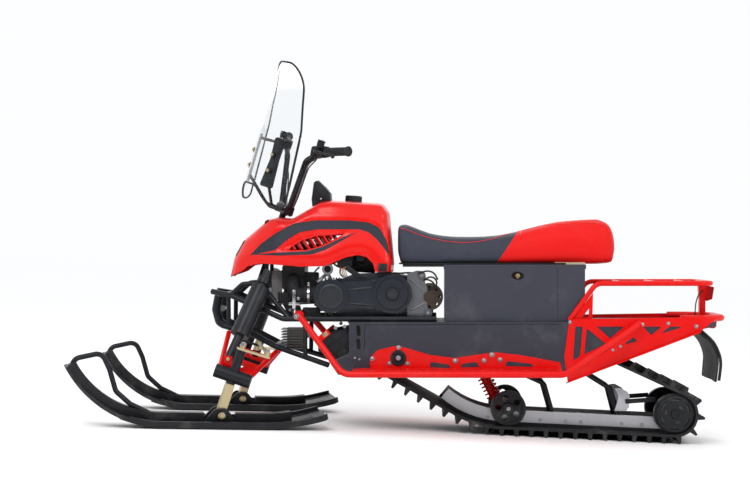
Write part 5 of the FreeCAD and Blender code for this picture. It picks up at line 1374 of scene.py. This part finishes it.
def build_side_details():
    """Bay panels, slots, sill cut-outs and teeth, truss flange, seams and the box lock. Near-black
    patches on the tunnel and an oval round the lock are painted shade, standing in for openings and
    the lock's pocket.
    """
    panel, ribs, slate, lines, teeth, flange, bolts, painted_shade_patches, grey = [bmesh.new() for _ in range(9)]
    outline = metres([(330, 412), (290, 434), (200, 452), (200, 362), (269, 326), (330, 362)])
    rim = [(204, 447), (288, 430), (326, 410), (326, 364), (269, 331), (204, 364)]
    cross = [((206, 444), (322, 358)), ((206, 362), (290, 430)), ((206, 404), (282, 334)),
             ((250, 338), (326, 408))]
    for sign, side_name in SIDES:
        sill = f"footboard_{side_name}"
        add_plate(panel, CHASSIS @ move(0, sign * 0.2035, 0), outline, 0.003, 0.0006)
        for (x0, z0), (x1, z1) in cross + list(zip(rim, rim[1:] + rim[:1])):
            add_tube(ribs, [at(x0, sign * 205.4, z0), at(x1, sign * 205.4, z1)], 0.0028, 8)
        for x, z in ((262, 452), (226, 458)):
            add_bolt(bolts, at(x, sign * 205.2, z), heading(0, sign, 0), 0.012)
        # Near-black patches on the tunnel's sides: painted shade standing in for its openings.
        for z in (443, 390):
            inlay(painted_shade_patches, "tunnel", rounded_outline([(163, z - 22, 7), (178, z - 20, 7),
                                                    (180, z + 22, 7), (165, z + 18, 7)], 4), sign)
        for rows in ([(-111, 321), (-179, 311), (-188, 297), (-105, 300)],
                     [(-234, 314), (-288, 321), (-300, 301), (-225, 300)],
                     [(-409, 325), (-500, 314), (-512, 302), (-397, 305)]):
            inlay(slate, sill, rounded_outline([(x, z, 3) for x, z in rows], 5), sign)
        side_line(lines, "tunnel", [(150, 356), (146, 466), (-614, 468)], sign, 0.0011)
        side_line(lines, "seat_box", [(-606, 492), (-606, 686)], sign, 0.0009)
        for spot, normal in side_hits("tunnel", [(16, 336)], sign):
            place = pointing(spot, normal)
            add_lathe(panel, place, [(0.031, -0.001), (0.031, 0.008), (0.028, 0.011),
                                     (0.0215, 0.011), (0.020, 0.006), (0.0125, 0.006),
                                     (0.0125, 0.012), (0.0, 0.0125)], 36)
            add_lathe(grey, place @ move(0, 0, 0.0125), [(0.0095, -0.0005), (0.0095, 0.0012),
                                                         (0.007, 0.002), (0.0, 0.002)], 24)
            rows = [(16 + x, 336 + z) for x, z in spokes(37, (90, 210, 330))]
            for hit, way in side_hits(sill, rows, sign):
                add_bolt(bolts, hit, way, 0.010)
        for index in range(44):
            x = 120 - 14 * index
            add_plate(teeth, CHASSIS @ move(0, sign * 0.3405, 0),
                      metres([(x, 291), (x - 12, 291), (x - 9, 298.5), (x - 3, 298.5)]), 0.0016)
        add_bar(flange, at(-634, sign * 232, 240), at(-1155, sign * 232, 439), 0.024, 0.0024,
                heading(0.3568, 0, 0.934), 0.0006)
    lock_face = pointing(side_hits("seat_box", [(-450, 656)], 1)[0][0], heading(0, 1, 0))
    # Near-black oval round the box lock: painted shade of the lock's pocket.
    add_lathe(painted_shade_patches, lock_face @ Matrix.Diagonal((1, 0.62, 1, 1)),
              [(0.0245, -0.0005), (0.0245, 0.0012), (0.023, 0.0018), (0.0215, 0.0004),
               (0, 0.0003)], 36)
    piece("bay_panels", panel, "black_plastic", sharp=40, outward=True)
    piece("bay_panel_ribs", ribs, "black_plastic", sharp=None)
    piece("painted_shade_openings", painted_shade_patches, "painted_shade", sharp=None, outward=True)
    piece("bearing_caps", grey, "steel", sharp=None)
    piece("sill_cutouts", slate, "slate_sheet", sharp=None)
    piece("seam_lines", lines, "black_plastic", sharp=None)
    piece("sill_teeth", teeth, "red_paint")
    piece("truss_flange", flange, "red_paint")
    piece("side_bolts_small", bolts, "steel")
    lock = bmesh.new()
    add_lathe(lock, lock_face, [(0.0085, 0.0), (0.0085, 0.0035), (0.0075, 0.0045),
                                (0.0, 0.0045)], 24)
    add_box(lock, lock_face, (-0.0012, -0.011, 0.004), (0.0012, 0.004, 0.016), 0.0004)
    piece("box_lock", lock, "brass")


# Mud flap, in millimetres: half width, half thickness and what its bead adds to that.
FLAP_HALF = 183
FLAP_HALF_THICK = 2.4
FLAP_BEAD = 1.6


def build_flap():
    """Rear mud flap: one bent rubber sheet with a beaded edge, a clamp strip and bolts."""
    bm = bmesh.new()
    back = [(-1131, 470), (-1139, 456), (-1150, 440), (-1180, 418), (-1208, 392), (-1222, 364),
            (-1231, 338), (-1234, 316), (-1231, 280), (-1227, 240)]
    line = rounded_path([Vector((x, 0, z)) for x, z in back], 20, 3)
    columns = [-1, -0.985, -0.95, -0.8, -0.6, -0.4, -0.2, 0, 0.2, 0.4, 0.6, 0.8, 0.95, 0.985, 1]
    front, rear = [], []
    total = len(line) - 1
    for index, spot in enumerate(line):
        along = (line[min(index + 1, total)] - line[max(index - 1, 0)]).normalized()
        out = Vector((along.z, 0, -along.x))
        if out.x > 0:
            out = -out
        down = index / total
        wide = FLAP_HALF * (1 - 0.03 * (max(0, down - 0.9) / 0.1) ** 2)
        faces = ([], [])
        for column in columns:
            half = FLAP_HALF_THICK + (FLAP_BEAD if abs(column) > 0.96 or down > 0.97 else 0)
            wave = 2.2 * down * math.sin(column * 4.4 + 0.6) - 5 * down * column ** 2
            middle = spot + out * wave + Vector((0, column * wide, 0))
            faces[0].append(bm.verts.new(at(*(middle + out * half))))
            faces[1].append(bm.verts.new(at(*(middle - out * half))))
        front.append(faces[0])
        rear.append(faces[1])
    for i in range(total):
        for j in range(len(columns) - 1):
            bm.faces.new((front[i][j], front[i][j + 1], front[i + 1][j + 1], front[i + 1][j]))
            bm.faces.new((rear[i][j], rear[i + 1][j], rear[i + 1][j + 1], rear[i][j + 1]))
        bm.faces.new((front[i][0], front[i + 1][0], rear[i + 1][0], rear[i][0]))
        bm.faces.new((front[i][-1], rear[i][-1], rear[i + 1][-1], front[i + 1][-1]))
    for j in range(len(columns) - 1):
        bm.faces.new((front[0][j], rear[0][j], rear[0][j + 1], front[0][j + 1]))
        bm.faces.new((front[-1][j], front[-1][j + 1], rear[-1][j + 1], rear[-1][j]))
    piece("flap_sheet", bm, "rubber", replaced="mud_flap", sharp=50, outward=True)
    strip = bmesh.new()
    bolts = bmesh.new()
    back_up = heading(-0.85, 0, 0.5)
    add_bar(strip, at(-1136, -176, 462), at(-1136, 176, 462), 0.022, 0.003, back_up)
    for y in (-150, -75, 0, 75, 150):
        add_bolt(bolts, at(-1138, y, 463), back_up, 0.011)
    piece("flap_strip", strip, "black_paint")
    piece("flap_bolts", bolts, "steel")


def build_skid_details():
    """Shock spring with its cups, caps of the front rollers and rail bolts."""
    top = ground(-279, 0, 279)
    low = ground(-382, 0, 92)
    axis = pointing(low, top - low)
    length = (top - low).length
    coil = bmesh.new()
    rounds = 12 * 18
    add_tube(coil, [axis @ Vector((x, y, 0.012 + (length - 0.024) * step / rounds))
                    for step, (x, y) in enumerate(circle(0.029, 18, rounds + 1))], 0.0034, 8)
    piece("shock_coil", coil, "red_paint", sharp=None)
    cups = bmesh.new()
    for height, flip in ((0.002, 1), (length - 0.002, -1)):
        add_lathe(cups, axis @ move(0, 0, height) @ Matrix.Diagonal((1, 1, flip, 1)),
                  [(0.019, 0.0), (0.035, 0.0), (0.036, 0.004), (0.034, 0.006), (0.019, 0.007)], 28)
    piece("shock_cups", cups, "black_paint", outward=True)
    caps = bmesh.new()
    bolts = bmesh.new()
    low_corner, high_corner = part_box("front_rollers")
    centre_x = (low_corner[0] + high_corner[0]) / 2
    centre_z = (low_corner[2] + high_corner[2]) / 2
    for sign in (1, -1):
        out = (0, sign, 0)
        place = spot_on("front_rollers", Vector((centre_x, sign * 0.9, centre_z)),
                        (0, -sign, 0))[0]
        add_lathe(caps, pointing(place, out), [(0.021, -0.001), (0.022, 0.002), (0.020, 0.005),
                                               (0.012, 0.0055), (0.011, 0.004), (0.0, 0.004)], 32)
        add_bolt(bolts, place + Vector((0, sign * 0.004, 0)), out, 0.014)
        for x, z in circle(0.034, 6, start=0.52):
            start = Vector((centre_x + x, sign * 0.9, centre_z + z))
            spot = spot_on("front_rollers", start, (0, -sign, 0))[0]
            if spot is not None and abs(spot.y) > abs(place.y) - 0.012:
                add_bolt(bolts, spot, out, 0.008, washer=False)
    for sign in (1, -1):
        for x in (-1010, -940, -860, -700, -640, -540, -470, -330, -260):
            spot = spot_on("slide_rails", ground(x, sign * OUTSIDE, 62), (0, -sign, 0))[0]
            if spot is not None:
                add_bolt(bolts, spot, (0, sign, 0), 0.011)
    piece("wheel_caps", caps, "black_plastic")
    piece("skid_bolts", bolts, "steel")


# Height of the ski's pivot in the frame of its kingpin.
SKI_PIVOT = -0.1543


def build_ski_details():
    """Pivot hardware and top ribs of each ski, and the nuts of the steering arms."""
    for side, name in SIDES:
        ski = f"ski_{name}"
        base = leg_frame(side)
        outward = base.to_3x3() @ Vector((0, 1, 0))
        up = base.to_3x3() @ Vector((0, 0, 1))
        pivot = bmesh.new()
        for sign in (1, -1):
            spot = spot_on(ski, base @ Vector((0, sign * 0.2, SKI_PIVOT)), -sign * outward)[0]
            if spot is not None:
                add_lathe(pivot, pointing(spot, sign * outward),
                          [(0.0145, -0.0005), (0.0145, 0.0025), (0.013, 0.0032)], 28)
                add_bolt(pivot, spot + sign * outward * 0.003, sign * outward, 0.017, washer=False)
        piece(f"ski_pivot_{name}", pivot, "zinc", ski)
        ribs = bmesh.new()
        sole = base @ move(0, 0, SKI_PIVOT)
        ahead = sole.to_3x3() @ Vector((1, 0, 0))
        ahead.z = 0
        ahead.normalize()
        across = Vector((0, 0, 1)).cross(ahead)
        for shift in (-0.058, -0.034, 0.034, 0.058):
            points = []
            for step in range(48):
                reach = -0.36 + 0.86 * step / 47
                above = Vector((0, 0, 0.5))
                start = sole.translation + ahead * reach + across * shift + above
                spot = spot_on(ski, start, (0, 0, -1))[0]
                if spot is not None and (not points or abs(spot.z - points[-1].z) < 0.02):
                    points.append(spot)
            if len(points) > 4:
                add_tube(ribs, points, 0.0026, 6)
        piece(f"ski_ribs_{name}", ribs, "ski_plastic", ski, sharp=None)
        nuts = bmesh.new()
        for x, across_flats in ((0.0, 0.020), (-0.1, 0.015)):
            start = base @ Vector((x, 0, 0.3))
            found = [spot_on(node, start, -up)[0] for node in (f"leg_{name}", f"tie_rod_{name}")]
            found = [spot for spot in found if spot is not None]
            if found:
                add_bolt(nuts, max(found, key=lambda spot: spot.z), up, across_flats)
        piece(f"arm_nuts_{name}", nuts, "steel", f"leg_{name}")


def add_sheet(bm, y, corners, spacing, thick, round_by):
    """Plate across the chassis at y metres, with rounded corners. Columns: x, z, radius."""
    outline = metres(rounded_outline(corners, spacing))
    add_plate(bm, CHASSIS @ move(0, y, 0), outline, thick, round_by)


def build_casing():
    """Drive casing ahead of the brake disc, its hoses, the tank's tray and the airbox shell."""
    bm = bmesh.new()
    add_sheet(bm, 0.1605, [(-18, 664, 0), (-56, 676, 10), (-84, 674, 14), (-92, 652, 12),
                           (-88, 632, 12), (-97, 600, 60), (-98, 560, 60), (-94, 532, 14),
                           (-116, 514, 14), (-116, 496, 12), (-60, 494, 6), (-18, 494, 0)],
              6, 0.0065, 0.0015)
    outward = heading(0, 1, 0)
    for x, z, radius in ((-75, 657, 0.0155), (-100, 510, 0.0165)):
        add_lathe(bm, pointing(at(x, 164, z), outward),
                  [(radius, -0.004), (radius, 0.004), (radius - 0.002, 0.006),
                   (radius - 0.005, 0.006), (radius - 0.0055, 0.004), (0, 0.004)], 28)
    for x0, z0, x1, z1 in ((-30, 640, -84, 596), (-30, 520, -86, 548), (-66, 664, -80, 560)):
        add_tube(bm, [at(x0, 163.5, z0), at(x1, 163.5, z1)], 0.0032, 8)
    piece("drive_casing", bm, "casing_alloy", sharp=40, outward=True)
    bolts = bmesh.new()
    add_bolt(bolts, at(444, 148, 521), outward, 0.011, washer=False)
    for x, z in ((-75, 657), (-100, 510)):
        add_bolt(bolts, at(x, 168, z), outward, 0.012)
    piece("casing_bolts", bolts, "steel")
    hose = bmesh.new()
    add_hose(hose, [(-82, 164, 636), (-104, 168, 652), (-126, 168, 648), (-136, 166, 628),
                    (-128, 164, 608), (-100, 160, 602)], 0.03, 0.0034, 10)
    add_hose(hose, [(-60, 168, 664), (-96, 172, 676), (-124, 170, 668), (-138, 168, 640)],
             0.03, 0.0034, 10)
    piece("casing_hoses", hose, "rubber", sharp=None)
    tray = bmesh.new()
    add_sheet(tray, 0, [(62, 700, 6), (62, 780, 6), (430, 780, 6), (430, 722, 10), (330, 716, 20),
                        (296, 716, 10), (232, 742, 20), (160, 746, 16), (112, 700, 10)],
              8, 0.2, 0.004)
    for x in (0.150, 0.196):
        add_block(tray, (x, 0.06, 0.712), (0.034, 0.05, 0.034), 0.003)
    add_sheet(tray, 0.02, [(100, 712, 6), (160, 752, 10), (232, 748, 10), (238, 700, 14),
                           (196, 668, 16), (112, 664, 12)], 6, 0.004, 0.001)
    piece("tank_tray", tray, "black_plastic", sharp=40)
    bracket = bmesh.new()
    add_sheet(bracket, 0.142, [(480, 556, 6), (414, 556, 6), (396, 488, 6), (446, 488, 6)],
              4, 0.005, 0.001)
    add_sheet(bracket, 0.120, [(396, 530, 6), (330, 530, 6), (322, 494, 6), (396, 488, 6)],
              4, 0.005, 0.001)
    add_lathe(bracket, pointing(at(444, 144, 521), outward),
              [(0.013, 0), (0.013, 0.004), (0, 0.004)], 20)
    piece("intake_bracket", bracket, "black_paint", sharp=40, outward=True)
    box = bmesh.new()
    add_sheet(box, 0.062, [(336, 560, 8), (336, 668, 8), (474, 672, 8), (474, 560, 8)],
              5, 0.052, 0.003)
    for z in (586, 646):
        add_tube(box, [at(342, 114.5, z), at(468, 114.5, z)], 0.0016, 6)
    piece("airbox_shell", box, "black_plastic", sharp=40)


def build_box_rim():
    """Slate rim along the box's left top edge, foam and end of the seat's base, fastener."""
    rim = bmesh.new()
    section = ((189, 682), (189, 697), (187, 699), (157, 699.5), (157, 682))
    bridge(rim, [[rim.verts.new(at(x, y, z)) for y, z in section] for x in (-161, -716)])
    piece("box_rim", rim, "slate_plastic", outward=True)
    foam = bmesh.new()
    add_box(foam, CHASSIS @ move(-0.716, 0, 0.6955), (0, -0.138, 0), (0.118, 0.138, 0.012), 0.002)
    piece("seat_foam", foam, "foam", "seat")
    cover = bmesh.new()
    add_block(cover, (-0.712, -0.182, 0.6985), (0.078, 0.05, 0.003), 0.0008)
    piece("seat_base_end", cover, "black_paint", "seat")
    fastener = bmesh.new()
    for sign in (1, -1):
        for spot, normal in side_hits("fairing", [(78, 688)], sign):
            place = pointing(spot, normal)
            add_box(fastener, place, (-0.018, -0.016, -0.0005), (0.018, 0.016, 0.0022), 0.001)
            add_lathe(fastener, place @ move(0, 0, 0.002),
                      [(0.011, 0), (0.011, 0.002), (0.009, 0.004), (0.0045, 0.0042),
                       (0.0045, 0.002), (0, 0.002)], 24)
    piece("fairing_fastener", fastener, "black_plastic", outward=True)


def build_bracket():
    """Red bracket ahead of the bay panel with its yellow label left blank."""
    red = bmesh.new()
    label = bmesh.new()
    for sign in (1, -1):
        add_plate(red, CHASSIS @ move(0, sign * 0.2075, 0),
                  metres([(338, 412), (294, 448), (280, 430), (318, 399)]), 0.004, 0.001)
        add_plate(label, CHASSIS @ move(0, sign * 0.2085, 0),
                  metres([(316, 425), (298, 440), (288, 429), (306, 415)]), 0.004, 0.0004)
    piece("bay_bracket", red, "red_paint")
    piece("bay_label", label, "zinc", sharp=None)


def build_wheel_faces():
    """Moulded faces of the rear wheels: rim ring, six arc windows, hub and webs."""
    bm = bmesh.new()
    dark = bmesh.new()
    low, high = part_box("rear_wheels")
    centre = Vector(((low[0] + high[0]) / 2, 0, (low[2] + high[2]) / 2))
    bands = ((0.010, 0.004), (0.026, 0.004), (0.040, 0.0015), (0.052, 0.0015), (0.0605, 0.0015),
             (0.0655, 0.0015))
    count = 72
    for sign in (1, -1):
        out = (0, sign, 0)
        face = centre + Vector((0, sign * (max(abs(low[1]), abs(high[1])) + 0.0005), 0))
        place = pointing(face, out)
        sheet = bmesh.new()
        rings = [[sheet.verts.new(place @ Vector((x, y, height))) for x, y in circle(r, count)]
                 for r, height in bands]
        for band, (inner, outer) in enumerate(zip(rings, rings[1:])):
            for step in range(count):
                window = band == 3 and 2 <= step % 12 <= 8
                notch = band == 1 and 4 <= step % 24 <= 12
                if not window and not notch:
                    after = (step + 1) % count
                    sheet.faces.new((inner[step], inner[after], outer[after], outer[step]))
        made = bmesh.ops.extrude_face_region(sheet, geom=sheet.faces[:], use_keep_orig=True)
        bmesh.ops.translate(sheet, vec=Vector((0, sign * 0.003, 0)),
                            verts=[v for v in made["geom"] if isinstance(v, bmesh.types.BMVert)])
        bmesh.ops.recalc_face_normals(sheet, faces=sheet.faces)
        copy = bpy.data.meshes.new("face_sheet")
        sheet.to_mesh(copy)
        sheet.free()
        bm.from_mesh(copy)
        bpy.data.meshes.remove(copy)
        add_lathe(bm, place, [(0.0655, -0.002), (0.0655, 0.0055), (0.0665, 0.0065),
                              (0.0705, 0.0065), (0.0715, 0.005), (0.0715, -0.002)], 72)
        add_lathe(bm, place, [(0.017, 0.004), (0.0165, 0.012), (0.0150, 0.014), (0.0095, 0.014),
                              (0.009, 0.0115), (0.0, 0.0115)], 32)
        for x, y in circle(0.028, 3, start=0.5):
            add_lathe(bm, pointing(place @ Vector((x, y, 0.004)), out),
                      [(0.0085, 0), (0.008, 0.005), (0.006, 0.006), (0, 0.006)], 20)
        add_lathe(dark, place, [(0.062, -0.0006), (0.05, -0.0004), (0.0, -0.0004)], 48)
    piece("rear_wheel_faces", bm, "black_plastic", sharp=40)
    piece("rear_wheel_gaps", dark, "wheel_grey", sharp=None)


def build_tail_details():
    """Lamp lead and boot, gussets of the skid's rear arm, links and flap ribs."""
    lead = bmesh.new()
    add_hose(lead, [(-1196, 20, 596), (-1178, 24, 580), (-1166, 26, 548), (-1162, 28, 500)],
             0.02, 0.0024, 8)
    boot = pointing(at(-1162, 28, 486), heading(0, 0, 1))
    add_lathe(lead, boot, [(0.0085, -0.004), (0.0088, 0.006), (0.006, 0.012), (0.003, 0.016),
                           (0.0, 0.016)], 16)
    piece("tail_lead", lead, "rubber", sharp=None, outward=True)
    gusset = bmesh.new()
    link = bmesh.new()
    rows = metres([(-838, 200), (-862, 203), (-892, 188), (-900, 174), (-900, 128), (-888, 112),
                   (-842, 110), (-850, 136), (-858, 170)])
    rail_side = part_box("slide_rails")[1][1] - 0.004
    for sign in (1, -1):
        y = sign * rail_side
        add_plate(gusset, move(0, y, 0), rows, 0.006, 0.0012)
        y += sign * 0.006
        add_bar(link, (-0.885, y, 0.150), (-1.0, y, 0.164), 0.018, 0.008)
    piece("arm_gussets", gusset, "rail_alloy")
    piece("wheel_links", link, "black_paint")
    ribs = bmesh.new()
    back = [(-1136, 474), (-1150, 452), (-1184, 424), (-1213, 396), (-1229, 364), (-1238, 338),
            (-1241, 312), (-1238, 280), (-1233, 246)]
    for y in (-174, 0, 174):
        add_tube(ribs, rounded_path([at(x, y, z) for x, z in back], 0.02, 3), 0.0062, 10)
    piece("flap_ribs", ribs, "rubber", sharp=None)


def build_controls():
    """Switch housings against the grips and the leads clipped to the bar and column."""
    bm = bmesh.new()
    for sign in (1, -1):
        place = on_grip(GRIP_INNER - GRIP_ALONG * 34, sign)
        add_box(bm, place, (-0.024, -0.022, 0), (0.024, 0.022, 0.030), 0.009)
        add_box(bm, place, (-0.021, -0.019, 0.026), (0.021, 0.019, 0.044), 0.009)
    piece("switch_housings", bm, "black_plastic", "steering", sharp=45)
    leads = bmesh.new()
    for side, shift, radius in ((1, 7, 0.0034), (1, -8, 0.0026), (-1, 4, 0.0036), (-1, -6, 0.0028)):
        add_hose(leads, [(8, side * 190, 274), (12 + shift, side * 168, 246),
                         (17 + shift, side * 130, 216), (4 + shift, side * 92, 160),
                         (-8 + shift, side * 58, 80), (-12 + shift, side * 32, 30),
                         (-16 + shift, side * 20, 4)], 0.04, radius, 10, on_bar)
    piece("bar_leads", leads, "rubber", "steering", sharp=None)


def build_clevises():
    """Forked ears that hold each strut's lower eye, and the foot tubes' bosses."""
    bm = bmesh.new()
    bolts = bmesh.new()
    outline = [(-0.019, -0.033), (0.021, -0.024), (0.015, 0.012), (-0.014, 0.012)]
    for side in (1, -1):
        eye = at(667, side * 322, 339)
        for shift in (-0.0135, 0.0135):
            add_plate(bm, Matrix.Translation(eye + Vector((0, shift, 0))), outline, 0.005, 0.001)
        add_bolt(bolts, eye + Vector((0, side * 0.016, 0)), (0, side, 0), 0.014, washer=False)
        outward = heading(0, side, 0)
        add_lathe(bm, pointing(at(405, side * 188, 501), outward),
                  [(0.019, 0.0), (0.019, 0.026), (0.0175, 0.028), (0.0, 0.028)], 28)
        add_bolt(bolts, at(405, side * 216, 501), outward, 0.017)
    piece("strut_clevises", bm, "red_paint", outward=True)
    piece("clevis_bolts", bolts, "zinc")


build_vent(build_fairing())
build_seat_trim(build_seat())
for build in (build_screen_trim, build_bar_details, build_dash, build_fasteners,
              build_cover_details, build_engine_details, build_side_details, build_flap,
              build_skid_details, build_ski_details, build_casing, build_box_rim, build_clevises,
              build_bracket, build_wheel_faces, build_tail_details, build_controls):
    build()


def look_from(spot, yaw, pitch, roll, lens):
    """Camera at a spot, its angles in degrees, with the lens in millimetres."""
    camera = bpy.data.cameras.new("camera")
    camera.lens = lens
    camera.sensor_width = 36
    holder = bpy.data.objects.new("camera", camera)
    bpy.context.scene.collection.objects.link(holder)
    upright = turn("Z", math.pi) @ turn("X", math.pi / 2)
    holder.matrix_world = (Matrix.Translation(spot) @ turn("Z", math.radians(yaw)) @ upright
                           @ turn("X", math.radians(pitch)) @ turn("Z", math.radians(roll)))
    bpy.context.scene.camera = holder


def stage_sheet(name, size, place, color):
    """Matt square of the stage."""
    bm = bmesh.new()
    bmesh.ops.create_grid(bm, x_segments=1, y_segments=1, size=size)
    sheet = new_object(name, bm)
    sheet.matrix_world = place
    paint = Paint(name)
    paint.put(color=color, rough=1.0, specular=0.0)
    sheet.data.materials.append(paint.material)
    return sheet


def make_stage():
    """Pale floor, a dark card that only reflections see, and soft studio light."""
    stage_sheet("floor", 40, move(0, 0, -0.0005), (0.995, 0.995, 0.995))
    upright = move(0, 9.0, 1.9) @ turn("X", math.radians(90)) @ Matrix.Diagonal((18, 4.2, 1, 1))
    card = stage_sheet("card", 0.5, upright, (0.05, 0.05, 0.055))
    card.visible_camera = False
    world = bpy.data.worlds.new("studio")
    bpy.context.scene.world = world
    world.use_nodes = True
    background = world.node_tree.nodes["Background"]
    background.inputs["Color"].default_value = (0.985, 0.99, 1.0, 1)
    background.inputs["Strength"].default_value = 1.0
    for name, spot, size, power in (("key", (1.5, 4.5, 4.0), 2.0, 120),
                                    ("fill", (-3.5, 3.5, 2.8), 1.6, 45),
                                    ("back", (0.5, -4.5, 3.5), 4.0, 40)):
        light = bpy.data.lights.new(name, "AREA")
        light.size = size
        light.energy = power
        lamp = bpy.data.objects.new(name, light)
        bpy.context.scene.collection.objects.link(lamp)
        lamp.matrix_world = pointing(spot, Vector(spot) - Vector((0, 0, 0.5)))
    bpy.context.scene.view_settings.view_transform = "Standard"


look_from((-0.0947, 7.0, 0.7277), 1.862, -0.205, 2.545, 83.55)
make_stage()
